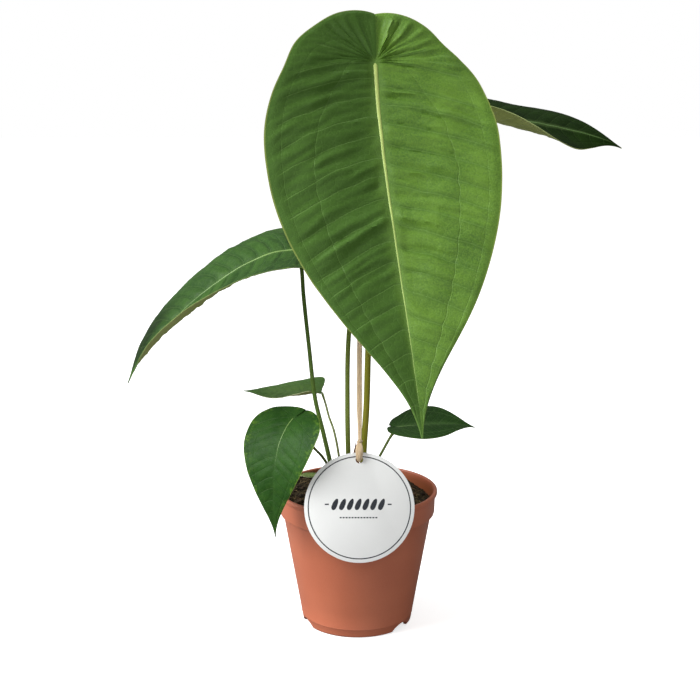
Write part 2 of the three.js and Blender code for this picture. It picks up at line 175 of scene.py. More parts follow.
def startGroup(name, inputs, outputs):
    group = bpy.data.node_groups.new(name, "ShaderNodeTree")
    for title, kind, value in inputs:
        socket = group.interface.new_socket(
            title, in_out="INPUT", socket_type="NodeSocket" + kind
        )
        if value is not None:
            socket.default_value = value
    for title, kind in outputs:
        group.interface.new_socket(
            title, in_out="OUTPUT", socket_type="NodeSocket" + kind
        )
    entry = group.nodes.new("NodeGroupInput")
    leave = group.nodes.new("NodeGroupOutput")
    return group, entry, leave


def useGroup(tree, group, inputs):
    made = tree.nodes.new("ShaderNodeGroup")
    made.node_tree = group
    for key, value in inputs.items():
        if isinstance(value, bpy.types.NodeSocket):
            tree.links.new(value, made.inputs[key])
        else:
            made.inputs[key].default_value = value
    return made


# Mottle: two sizes of soft patches and a fine speckle, used by every finish
mottle, entry, leave = startGroup(
    "mottle",
    [("Place", "Vector", None), ("Patch Size", "Float", 20.0), ("Speckle Size", "Float", 400.0)],
    [("Patches", "Float"), ("Speckle", "Float")],
)
patches = put(mottle, "TexNoise", {
    "Vector": entry.outputs["Place"], "Scale": entry.outputs["Patch Size"],
    "Detail": 4.0, "Roughness": 0.55,
})
speckle = put(mottle, "TexNoise", {
    "Vector": entry.outputs["Place"], "Scale": entry.outputs["Speckle Size"],
    "Detail": 3.0, "Roughness": 0.6,
})
mottle.links.new(fadeIn(mottle, patches.outputs["Fac"], 0.3, 0.7), leave.inputs["Patches"])
mottle.links.new(fadeIn(mottle, speckle.outputs["Fac"], 0.3, 0.7), leave.inputs["Speckle"])

# Fibres: fine lines that run along a stretched direction, for stalks, raffia, sheath and bark
fibres, entry, leave = startGroup(
    "fibres",
    [("Place", "Vector", None), ("Stretch", "Vector", (1.0, 1.0, 1.0)), ("Fineness", "Float", 1.0)],
    [("Lines", "Float"), ("Bands", "Float")],
)
pulled = put(fibres, "VectorMath", {
    0: entry.outputs["Place"], 1: entry.outputs["Stretch"]}, operation="MULTIPLY")
lines = put(fibres, "TexNoise", {
    "Vector": pulled.outputs[0], "Scale": entry.outputs["Fineness"],
    "Detail": 5.0, "Roughness": 0.65,
})
bands = put(fibres, "TexNoise", {
    "Vector": pulled.outputs[0], "Scale": times(fibres, entry.outputs["Fineness"], 0.22),
    "Detail": 2.0,
})
fibres.links.new(fadeIn(fibres, lines.outputs["Fac"], 0.32, 0.68), leave.inputs["Lines"])
fibres.links.new(fadeIn(fibres, bands.outputs["Fac"], 0.35, 0.65), leave.inputs["Bands"])

# Leaf veins: side veins by their running number, two rings, painted shade in the grooves beside the side
# veins, a painted sheen along the midrib's flanks, and the margin
leafVeins, entry, leave = startGroup(
    "leafVeins",
    [
        ("Vein Place", "Float", 0.0), ("Vein Gap", "Float", 14.0), ("Vein Width", "Float", 0.7),
        ("Ring Distance", "Float", 0.0), ("Outer Distance", "Float", 0.0),
        ("Across", "Float", 0.0), ("Reach", "Float", 60.0),
    ],
    [
        ("Veins", "Float"), ("Rings", "Float"), ("Valley Shade", "Float"), ("Midrib Sheen", "Float"),
        ("Margin", "Float"),
    ],
)
given = entry.outputs
shifted = calc(leafVeins, "ADD", given["Vein Place"], 0.5)
offCentre = absolute(leafVeins, calc(leafVeins, "SUBTRACT", calc(leafVeins, "FRACT", shifted), 0.5))
sideDistance = times(leafVeins, offCentre, given["Vein Gap"])
sideShare = calc(leafVeins, "DIVIDE", sideDistance, given["Vein Width"])
inside = fadeIn(leafVeins, given["Outer Distance"], 6.0, -1.0)
sideLine = times(leafVeins, fadeIn(leafVeins, sideShare, 1.0, 0.1), inside)
ringShare = calc(leafVeins, "DIVIDE", absolute(leafVeins, given["Ring Distance"]), given["Vein Width"])
outerShare = calc(leafVeins, "DIVIDE", absolute(leafVeins, given["Outer Distance"]), given["Vein Width"])
ringLine = fadeIn(leafVeins, ringShare, 1.0, 0.1)
outerLine = times(leafVeins, fadeIn(leafVeins, outerShare, 0.8, 0.1), 0.6)
# painted shade: darkest beside each side vein, where the blade dips into its groove
valleyShade = times(leafVeins, fadeIn(leafVeins, sideShare, 5.0, 0.5), inside)
# painted sheen: a pale band along both flanks of the midrib
fromMidrib = times(leafVeins, absolute(leafVeins, given["Across"]), given["Reach"])
fromEdge = calc(leafVeins, "SUBTRACT", 1.0, absolute(leafVeins, given["Across"]))
for title, value in (
    ("Veins", sideLine),
    ("Rings", calc(leafVeins, "MAXIMUM", ringLine, outerLine)),
    ("Valley Shade", valleyShade),
    ("Midrib Sheen", fadeIn(leafVeins, fromMidrib, 7.0, 0.5)),
    ("Margin", fadeIn(leafVeins, fromEdge, 0.018, 0.004)),
):
    leafVeins.links.new(value, leave.inputs[title])


def mottled(tree, place, patchSize, speckleSize):
    values = {"Place": place, "Patch Size": patchSize, "Speckle Size": speckleSize}
    return useGroup(tree, mottle, values).outputs


def fibrous(tree, place, stretch, fineness):
    values = {"Place": place, "Stretch": stretch, "Fineness": fineness}
    return useGroup(tree, fibres, values).outputs


def bumpFrom(tree, height, strength, distance):
    values = {"Strength": strength, "Distance": distance, "Height": height}
    return put(tree, "Bump", values).outputs[0]


def joinShader(tree, shader, base, height, strength, distance):
    tree.links.new(base, shader.inputs["Base Color"])
    tree.links.new(bumpFrom(tree, height, strength, distance), shader.inputs["Normal"])


def leafMaterial(name, look):
    material, tree, shader = startMaterial(name, look["roughness"], look.get("specular", 0.22))
    place = objectPlace(tree)
    across, down = readAttribute(tree, "across"), readAttribute(tree, "along")
    spots = mottled(tree, place, look.get("patchSize", 38.0), 900.0)
    veins = useGroup(tree, leafVeins, {
        "Vein Place": readAttribute(tree, "veinPlace"), "Vein Gap": look["veinGap"],
        "Vein Width": look["veinWidth"], "Ring Distance": readAttribute(tree, "ringDistance"),
        "Outer Distance": readAttribute(tree, "outerDistance"), "Across": across,
        "Reach": look["reach"],
    }).outputs
    net = put(tree, "TexVoronoi", {
        "Vector": place, "Scale": look.get("netSize", 210.0), "Randomness": 0.9,
    }, feature="DISTANCE_TO_EDGE")
    netLines = fadeIn(tree, net.outputs["Distance"], 0.09, 0.0)
    base = wash(tree, look["deep"], spots["Patches"], look.get("patches", 0.75), look["fresh"])
    base = wash(tree, base, spots["Speckle"], look.get("speckle", 0.16), look["fresh"])
    if "shadeHalf" in look:  # the half on the far side of the midrib faces the light less
        half = fadeIn(tree, across, -0.1, 0.2, 0.0, look["shadeHalf"])
        base = tint(tree, half, base, look["deep"])
    # painted shade laid into the grooves beside the side veins
    base = wash(tree, base, veins["Valley Shade"], look.get("valleyShade", 0.35), look["deep"])
    base = wash(tree, base, netLines, look.get("net", 0.14), look["vein"])
    # painted highlight: the midrib's flanks washed paler as a sheen
    base = wash(tree, base, veins["Midrib Sheen"], look.get("midribSheen", 0.3), look["vein"])
    if "tipShade" in look:  # the half that turns away near the tip is darker
        tipSide = fadeIn(tree, across, 0.02, 0.4)
        tipPlace = fadeIn(tree, down, 0.6, 0.8, 0.0, look["tipShade"])
        base = wash(tree, base, tipSide, tipPlace, colour(0.004, 0.012, 0.002))
    if "blotch" in look:  # paler flecks that gather towards the blade's edges
        flecks = put(tree, "TexNoise", {
            "Vector": place, "Scale": 260.0, "Detail": 4.0, "Roughness": 0.7})
        nearEdge = fadeIn(tree, absolute(tree, across), 0.72, 0.97, 0.1, 1.0)
        gathered = times(tree, fadeIn(tree, flecks.outputs["Fac"], 0.5, 0.62), nearEdge)
        base = wash(tree, base, gathered, look["blotch"], look["blotchColour"])
    base = wash(tree, base, veins["Veins"], look.get("lines", 0.5), look["vein"])
    base = wash(tree, base, veins["Rings"], look.get("ringLines", 0.5), look["vein"])
    base = wash(tree, base, veins["Margin"], look.get("margin", 0.7), look["marginColour"])
    dull = calc(tree, "ADD", times(tree, spots["Speckle"], 0.12), look["roughness"])
    tree.links.new(dull, shader.inputs["Roughness"])
    groove = look.get("groove", 0.9)
    height = calc(tree, "ADD", times(tree, spots["Speckle"], 0.25), times(tree, netLines, -0.35))
    height = calc(tree, "SUBTRACT", height, times(tree, veins["Veins"], groove))
    height = calc(tree, "SUBTRACT", height, times(tree, veins["Rings"], groove))
    joinShader(tree, shader, base, height, 0.5, 0.00035)
    return material


def midribMaterial(name, near, far):
    material, tree, shader = startMaterial(name, 0.42, 0.45)
    place = objectPlace(tree)
    spots = mottled(tree, place, 60.0, 900.0)
    strands = fibrous(tree, place, (1.0, 1.0, 0.12), 900.0)
    base = tint(tree, fadeIn(tree, readAttribute(tree, "along"), 0.0, 0.85), near, far)
    base = wash(tree, base, spots["Patches"], 0.25, far)
    joinShader(tree, shader, base, strands["Lines"], 0.25, 0.0002)
    return material


def finish(piece, name, slot, *nodes):
    piece.name = name
    piece.data.name = name
    pick(piece)
    bpy.ops.object.transform_apply(location=True, rotation=True, scale=True)
    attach(piece, "root")
    if nodes:
        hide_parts(*nodes)
    return piece


def applyModifier(piece, kind, **settings):
    pick(piece)
    modifier = piece.modifiers.new(kind.lower(), kind)
    for key, value in settings.items():
        setattr(modifier, key, value)
    bpy.ops.object.modifier_apply(modifier=modifier.name)


def joinPieces(main, others):
    deselect()
    for other in others:
        other.select_set(True)
    main.select_set(True)
    bpy.context.view_layer.objects.active = main
    bpy.ops.object.join()


def smooth(piece, angle=None):
    pick(piece)
    if angle is None:
        bpy.ops.object.shade_smooth()
    else:
        bpy.ops.object.shade_smooth_by_angle(angle=math.radians(angle))


def spinProfile(profile, steps):
    bpy.ops.mesh.primitive_plane_add(size=0.01, location=(0, 0, 0))
    piece = bpy.context.object
    shell = bmesh.new()
    corners = [shell.verts.new((r * mm, 0, z * mm)) for r, z in profile]
    for a, b in zip(corners, corners[1:]):
        shell.edges.new((a, b))
    shell.to_mesh(piece.data)
    shell.free()
    editAll(piece)
    bpy.ops.mesh.spin(steps=steps, angle=2 * math.pi, center=(0, 0, 0), axis=(0, 0, 1))
    bpy.ops.mesh.select_all(action="SELECT")
    bpy.ops.mesh.remove_doubles(threshold=0.000004)
    bpy.ops.mesh.normals_make_consistent(inside=False)
    leaveEdit()
    return piece


# The pot: sizes in mm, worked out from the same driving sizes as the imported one
pot = {
    "height": 103, "rimRadius": 60, "baseRadius": 41.2, "wall": 1.3,
    "collarHeight": 18.5, "collarStep": 2.6, "collarFlare": 0.4,
    "lipHeight": 3.6, "lipReach": 1.5, "floorLift": 5, "padRadius": 13, "footRound": 2.2,
    "drainAngles": (-67, 53, 173), "notchWidth": 19, "notchHeight": 5.6, "drainRadius": 3.5,
}
collarBottom = pot["height"] - pot["collarHeight"]
lipBottom = pot["height"] - pot["lipHeight"]
collarRadius = pot["rimRadius"] - pot["lipReach"]
neckRadius = collarRadius - pot["collarFlare"] - pot["collarStep"]
floorTop = pot["floorLift"] + pot["wall"]


def arc(centreR, centreZ, radius, fromAngle, toAngle, steps=5):
    return [
        (
            centreR + radius * math.cos(math.radians(fromAngle + (toAngle - fromAngle) * i / steps)),
            centreZ + radius * math.sin(math.radians(fromAngle + (toAngle - fromAngle) * i / steps)),
        )
        for i in range(steps + 1)
    ]


def bodyRadius(z):
    share = (z - pot["footRound"]) / (collarBottom - pot["footRound"])
    return pot["baseRadius"] + (neckRadius - pot["baseRadius"]) * share


def potProfile():
    wall = pot["wall"]
    foot = pot["footRound"]
    inner = pot["baseRadius"] - wall - foot
    rows = [(0, 0), (pot["padRadius"], 0), (pot["padRadius"] + 2, pot["floorLift"])]
    rows += [(inner, pot["floorLift"]), (inner, 0)]
    rows += arc(pot["baseRadius"] - foot, foot, foot, -90, -8)
    rows += [(bodyRadius(6.6), 6.6), (bodyRadius(6.9) + 0.22, 6.95), (bodyRadius(7.4) + 0.05, 7.4)]
    rows += [(bodyRadius(z), z) for z in (20, 40, 60, collarBottom - 0.8)]
    rows += [(neckRadius + 0.35, collarBottom - 0.1), (neckRadius + 1.5, collarBottom + 0.25)]
    rows += [(neckRadius + 2.2, collarBottom + 0.8), (neckRadius + 2.55, collarBottom + 2)]
    rows += [(collarRadius - 0.05, lipBottom - 0.5), (collarRadius + 0.3, lipBottom)]
    rows += arc(pot["rimRadius"] - 0.9, lipBottom + 1.0, 0.9, -60, 0, 3)
    rows += arc(pot["rimRadius"] - 1.1, pot["height"] - 1.1, 1.1, 0, 90, 5)
    rows += arc(collarRadius - wall + 0.9, pot["height"] - 0.9, 0.9, 90, 180, 4)
    rows += [(collarRadius - wall - 0.1, lipBottom), (neckRadius + 1.35, collarBottom + 3.4)]
    rows += [(neckRadius + 0.6 - wall, collarBottom + 1.2), (neckRadius - wall, collarBottom - 0.6)]
    rows += [(bodyRadius(z) - wall, z) for z in (60, 40, 20, floorTop + 2)]
    rows += [(bodyRadius(floorTop) - wall - 2, floorTop), (pot["padRadius"] + 2 + wall, floorTop)]
    rows += [(pot["padRadius"] - 0.6, wall), (0, wall)]
    return rows


potPiece = spinProfile(potProfile(), 180)


def cutAway(piece, cutter):
    applyModifier(piece, "BOOLEAN", operation="DIFFERENCE", object=cutter, solver="EXACT")
    bpy.data.objects.remove(cutter, do_unlink=True)


for angle in pot["drainAngles"]:
    # arch cutter: a cylinder lying outwards through the foot, squeezed to the notch's size
    bpy.ops.mesh.primitive_cylinder_add(vertices=48, radius=1, depth=14 * mm, location=(0, 0, 0))
    arch = bpy.context.object
    for corner in arch.data.vertices:
        flat = abs(corner.co.x) ** 1.35 * math.copysign(1, corner.co.x)
        corner.co.x = flat * pot["notchWidth"] / 2 * mm
        corner.co.y *= pot["notchHeight"] * mm
    outward = Matrix.Rotation(math.radians(angle), 4, "Z")
    lying = Matrix.Rotation(math.pi / 2, 4, "X")
    arch.data.transform(outward @ Matrix.Translation((0, -pot["baseRadius"] * mm, 0)) @ lying)
    cutAway(potPiece, arch)
    drainOut = pot["baseRadius"] - pot["wall"] - pot["footRound"] - pot["drainRadius"] - 1.5
    bpy.ops.mesh.primitive_cylinder_add(vertices=32, radius=pot["drainRadius"] * mm, depth=8 * mm)
    drain = bpy.context.object
    drain.data.transform(outward @ Matrix.Translation((0, -drainOut * mm, pot["floorLift"] * mm)))
    cutAway(potPiece, drain)

potMaterial, tree, shader = startMaterial("terracottaPlastic", 0.5, 0.6)
place = objectPlace(tree)
spots = mottled(tree, place, 16.0, 1400.0)
streaks = fibrous(tree, place, (1.0, 1.0, 14.0), 14.0)
base = tint(tree, spots["Patches"], colour(0.47, 0.128, 0.060), colour(0.53, 0.155, 0.076))
base = wash(tree, base, streaks["Bands"], 0.18, colour(0.40, 0.10, 0.05))
base = wash(tree, base, spots["Speckle"], 0.07, colour(0.62, 0.26, 0.17))
# painted shade on the inside of the collar, between the soil and the lip, where the inner wall lies in
# shadow
flat = put(tree, "VectorMath", {0: place, 1: (1.0, 1.0, 0.0)}, operation="MULTIPLY").outputs[0]
fromAxis = put(tree, "VectorMath", {0: flat}, operation="LENGTH").outputs["Value"]
height = put(tree, "SeparateXYZ", {0: place}).outputs[2]
innerWall = collarRadius - pot["wall"]
inward = fadeIn(tree, fromAxis, (innerWall + 0.35) * mm, (innerWall + 0.15) * mm)
belowLip = fadeIn(tree, height, (lipBottom + 3.0) * mm, (lipBottom - 2.0) * mm)
aboveNeck = fadeIn(tree, height, (collarBottom + 0.5) * mm, (collarBottom + 2.0) * mm)
innerWallShade = times(tree, times(tree, inward, belowLip), aboveNeck)
base = wash(tree, base, innerWallShade, 0.6, colour(0.22, 0.060, 0.014))
rough = fadeIn(tree, spots["Patches"], 0.0, 1.0, 0.40, 0.50)
tree.links.new(rough, shader.inputs["Roughness"])
grain = calc(tree, "ADD", spots["Speckle"], times(tree, streaks["Lines"], 0.4))
joinShader(tree, shader, base, grain, 0.22, 0.00012)
potPiece.data.materials.append(potMaterial)
smooth(potPiece, 32)
finish(potPiece, "nurseryPot", "terracotta_plastic", "pot")
print("pot done")

# The blades: places from the middle of the pot at soil level, angles in degrees
headspace = 11  # from the soil up to the rim
soilLevel = pot["height"] - headspace

leafSizes = {
    "front_leaf": {
        "base": (12, -8, 323.2), "heading": -82, "turn": (20, 4.5), "pitch": (-68.6, -64.2, -66.6, -63.4),
        "roll": (9.8, -27.7, 0), "length": 265.6, "halfWidth": 83, "notch": 0.01, "lobe": 0.133,
        "lobeReach": 0.494, "shoulder": 0.474, "widest": 0.231, "fullness": 0.54, "tipFullness": 0.068,
        "rise": ((12.6, 12.9), (12.6, 12.9)), "curl": ((-8, -8.7), (-7.8, -9.2)),
        # changes of the edge: which half, place along it, reach, how far out
        "edge": (
            (0, 0.155, 0.035, -2.6), (0, 0.245, 0.04, 1.2), (0, 0.45, 0.18, -1.8), (0, 0.76, 0.1, 1.8),
            (1, 0.18, 0.04, 2.6), (1, 0.245, 0.03, -0.6), (1, 0.45, 0.2, 1.6), (1, 0.82, 0.12, 2.2),
        ),
        # single folds: which half, place across and along, reach across and along, turn, height
        "folds": (
            (1, 12, 92, 30, 6, 0.35, -1.7), (1, 30, 78, 22, 5, 0.25, 1.1),
            (0, 16, 138, 26, 6, 0.4, -2.4), (0, 24, 118, 24, 6, 0.3, 1.3),
            (1, 20, 122, 26, 5, 0.5, 1.6), (1, 34, 140, 24, 5, 0.55, -1.3),
            (1, 22, 60, 24, 4, 0.1, -1.2), (0, 24, 62, 26, 4, 0.1, -0.9),
            (0, 34, 90, 26, 5, 0.25, -1.0),
        ),
        "rows": 210, "columns": 132, "veins": 17, "fan": 5, "slant": (0.10, 0.62),
        "pucker": 0.75, "crease": (2.2, 1.6), "wave": 1.6, "midrib": (2.1, 0.42), "ring": 0.64,
    },
    "left_leaf": {
        "base": (-42.2, 0, 190.3), "heading": 181, "turn": (7, 3), "pitch": (1.6, -54, -30, -66.5),
        "roll": (9, 4, -13), "length": 165.5, "halfWidth": 51.5, "notch": 0.02, "lobe": 0.135,
        "lobeReach": 0.52, "shoulder": 0.577, "widest": 0.348, "fullness": 0.9, "tipFullness": 0.165,
        "rise": ((-12, -13), (26, 28)), "curl": ((28, 48), (-45, -30)),
        "rows": 150, "columns": 84, "veins": 14, "fan": 4, "slant": (0.15, 0.6),
        "edge": ((1, 0.42, 0.1, -4.5), (1, 0.24, 0.06, 2.0), (1, 0.72, 0.1, 3.0)),
        "pucker": 1.1, "crease": (0.9, 0.9), "wave": 0.8, "midrib": (1.3, 0.3), "ring": 0.64,
    },
    "upper_right_leaf": {
        "base": (61.8, 55, 296.8), "heading": 3, "turn": (6, -6.5), "pitch": (-22.6, -9, 1.5, -29.5),
        "roll": (-4.3, 8.4, -4.6), "length": 144.5, "halfWidth": 54.5, "notch": 0.02, "lobe": 0.128,
        "lobeReach": 0.476, "shoulder": 0.558, "widest": 0.372, "fullness": 0.586, "tipFullness": 0.05,
        "rise": ((16.5, 28), (-21, -36.5)), "curl": ((-6, -26), (81, 12)),
        "rows": 150, "columns": 84, "veins": 13, "fan": 4, "slant": (0.15, 0.6),
        "pucker": 0.5, "crease": (0.3, 0.3), "wave": 0.6, "midrib": (1.3, 0.3), "ring": 0.64,
    },
    "small_left_leaf": {
        "base": (-27, 25, 79.6), "heading": 168, "turn": (11.5, 18), "pitch": (-8, -3.5, 6.3, 3.5),
        "roll": (16.5, -1, 2), "length": 60, "halfWidth": 22, "notch": 0.3, "lobe": 0.018,
        "lobeReach": 0.98, "shoulder": 0.507, "widest": 0.19, "fullness": 0.525, "tipFullness": 0.118,
        "rise": ((8.5, -19), (7, 8)), "curl": ((49, 2), (-3, -8)),
        "rows": 84, "columns": 48, "veins": 10, "fan": 1, "slant": (0.3, 0.7),
        "pucker": 0.25, "crease": (0.12, 0.12), "wave": 0.35, "midrib": (0.75, 0.2), "ring": 0.7,
    },
    "low_left_leaf": {
        "base": (-45.7, -33, 73.8), "heading": -133, "turn": (17, 27), "pitch": (-30, -78, -94, -101),
        "roll": (0.8, -0.5, 0), "length": 92.4, "halfWidth": 31.3, "notch": 0.02, "lobe": 0.104,
        "lobeReach": 0.505, "shoulder": 0.552, "widest": 0.131, "fullness": 0.354, "tipFullness": 0.032,
        "rise": ((5.5, 9), (6.7, 6.7)), "curl": ((-7.5, -5.5), (-5.5, -6.5)),
        "rows": 120, "columns": 72, "veins": 11, "fan": 3, "slant": (0.35, 0.8),
        "pucker": 0.35, "crease": (0.15, 0.15), "wave": 0.5,
        "midrib": (0.7, 0.2), "ring": 0.72, "overlap": 4.6, "overlapEnd": 0.2,
    },
    "low_right_leaf": {
        "base": (28.7, -3.2, 58.6), "heading": -7, "turn": (10, 10), "pitch": (7.5, 4.6, 4, -15.5),
        "roll": (2, -5.4, -6.2), "length": 58.8, "halfWidth": 26.5, "notch": 0.233, "lobe": 0.096,
        "lobeReach": 0.68, "shoulder": 0.516, "widest": 0.297, "fullness": 0.528, "tipFullness": 0.11,
        "rise": ((10, 21), (6.5, 2)), "curl": ((7.5, -4), (-17, -20)),
        "rows": 84, "columns": 52, "veins": 9, "fan": 2, "slant": (0.3, 0.7),
        "pucker": 0.25, "crease": (0.12, 0.12), "wave": 0.3, "midrib": (0.75, 0.2), "ring": 0.7,
    },
}

fanShare = 0.24  # share of the edge whose rows all start at the base
bladeThickness = 0.55
fullHalfWidth = 86.6  # half width at which ripples and veins have their full size


def bezier(values, t):
    if len(values) == 3:
        a, b, c = values
        return a * (1 - t) ** 2 + 2 * b * t * (1 - t) + c * t * t
    a, b, c, d = values
    return a * (1 - t) ** 3 + 3 * b * t * (1 - t) ** 2 + 3 * c * t * t * (1 - t) + d * t ** 3


def clamp(value, low=0.0, high=1.0):
    return max(low, min(high, value))


def mix(a, b, t):
    return a + (b - a) * t


def ease(value, low, high):
    t = clamp((value - low) / (high - low))
    return t * t * (3 - 2 * t)


# Half outline of a blade from its notch round the lobe to the tip, as places at equal steps
def bladeOutline(leaf, steps=400):
    length, width = leaf["length"], leaf["halfWidth"]
    lobe, widest = leaf["lobe"] * length, leaf["widest"] * length
    rest = length - widest
    first = [
        (leaf["notch"] * width, -lobe), (leaf["lobeReach"] * width, -1.25 * lobe),
        (width, widest - leaf["shoulder"] * (widest + lobe)), (width, widest),
    ]
    second = [
        (width, widest), (width, widest + leaf["fullness"] * rest),
        (leaf["tipFullness"] * width, widest + 0.72 * rest), (0, length),
    ]
    places = []
    for curve in (first, second):
        for i in range(steps + 1):
            t = i / steps
            places.append(tuple(bezier([p[k] for p in curve], t) for k in (0, 1)))
    reach = [0.0]
    for a, b in zip(places, places[1:]):
        reach.append(reach[-1] + math.dist(a, b))
    even, j = [], 0
    for i in range(steps + 1):
        want = reach[-1] * i / steps
        while j < len(reach) - 2 and reach[j + 1] < want:
            j += 1
        span = reach[j + 1] - reach[j]
        t = (want - reach[j]) / span if span > 1e-9 else 0.0
        even.append((mix(places[j][0], places[j + 1][0], t), mix(places[j][1], places[j + 1][1], t)))
    return even


def along(values, share):
    place = clamp(share) * (len(values) - 1)
    i = min(int(place), len(values) - 2)
    t = place - i
    a, b = values[i], values[i + 1]
    if isinstance(a, Vector):
        return a.lerp(b, t)
    return tuple(mix(p, q, t) for p, q in zip(a, b))


def bladeAxes(leaf, share):
    heading = math.radians(leaf["heading"] + bezier((0, *leaf["turn"]), share))
    pitch = math.radians(bezier(leaf["pitch"], share))
    roll = math.radians(bezier(leaf["roll"], share))
    level = math.cos(pitch)
    forward = Vector((level * math.cos(heading), level * math.sin(heading), math.sin(pitch)))
    right = Vector((math.sin(heading), -math.cos(heading), 0))
    right.rotate(Matrix.Rotation(-roll, 3, forward))
    return forward, right, right.cross(forward)


def midribLine(leaf, steps=200):
    spots = [Vector(leaf["base"]) + Vector((0, 0, leaf.get("ground", soilLevel)))]
    for i in range(steps):
        forward = bladeAxes(leaf, (i + 0.5) / steps)[0]
        spots.append(spots[-1] + forward * (leaf["length"] / steps))
    return spots


# Running number of the side vein at a place on the flat blade: 0 at the base, up to the tip,
# and below 0 through the veins that fan out into the lobe
def veinNumber(leaf, x, y):
    length, width = leaf["length"], leaf["halfWidth"]
    low, high = leaf["slant"]
    bow = 0.19 / width
    start = y
    for _ in range(5):
        slant = mix(low, high, clamp(start / length))
        start = y - slant * abs(x) - bow * x * x
    if start >= 0:
        t = clamp(start / length)
        number = leaf["veins"] * (1 - (1 - t) ** 1.12)
    else:
        distance = math.hypot(x, y)
        bend = 0.45 * (distance / width) ** 2
        full = math.pi / 2 + math.atan(low + bow * abs(x)) + bend
        angle = math.atan2(abs(x), -y) + bend
        number = -leaf["fan"] * (1 - clamp(angle / full))
    wobble = 0.16 * noise.noise(Vector((number * 0.9, 3.0 if x > 0 else 9.0, leaf["length"] * 0.1)))
    wobble += 0.07 * noise.noise(Vector((x * 0.07, y * 0.07, leaf["length"])))
    return number + wobble + 0.22 * math.tanh(x / 4) * ease(start, 0, 20)


# How far out the two ring veins run, as a share of their widest, at places along the edge
ringShape = (
    (0.15, 0.0), (0.19, 0.2), (0.24, 0.46), (0.30, 0.66), (0.36, 0.84), (0.45, 0.97),
    (0.6, 1.0), (0.85, 0.98), (1.0, 0.9),
)
outerShape = (
    (0.06, 0.0), (0.10, 0.40), (0.14, 0.70), (0.20, 0.86), (0.30, 0.95), (0.5, 1.0),
    (0.85, 1.0), (1.0, 0.97),
)


def shapeAt(shape, value):
    for (a, p), (b, q) in zip(shape, shape[1:]):
        if value <= b:
            return mix(p, q, clamp((value - a) / (b - a)))
    return shape[-1][1]


# Slow waves of the blade, out from its middle surface; x runs to the left and right of the midrib
def waveLift(leaf, x, y):
    length, scale = leaf["length"], leaf["halfWidth"] / fullHalfWidth
    roll = noise.noise(Vector((x / (48 * scale), y / (40 * scale), length)))
    roll += 0.45 * noise.noise(Vector((x / (19 * scale) + 5, y / (16 * scale), length)))
    return leaf["wave"] * roll * ease(math.hypot(x, y), 0, 40 * scale) * ease(length - y, 0, 0.2 * length)


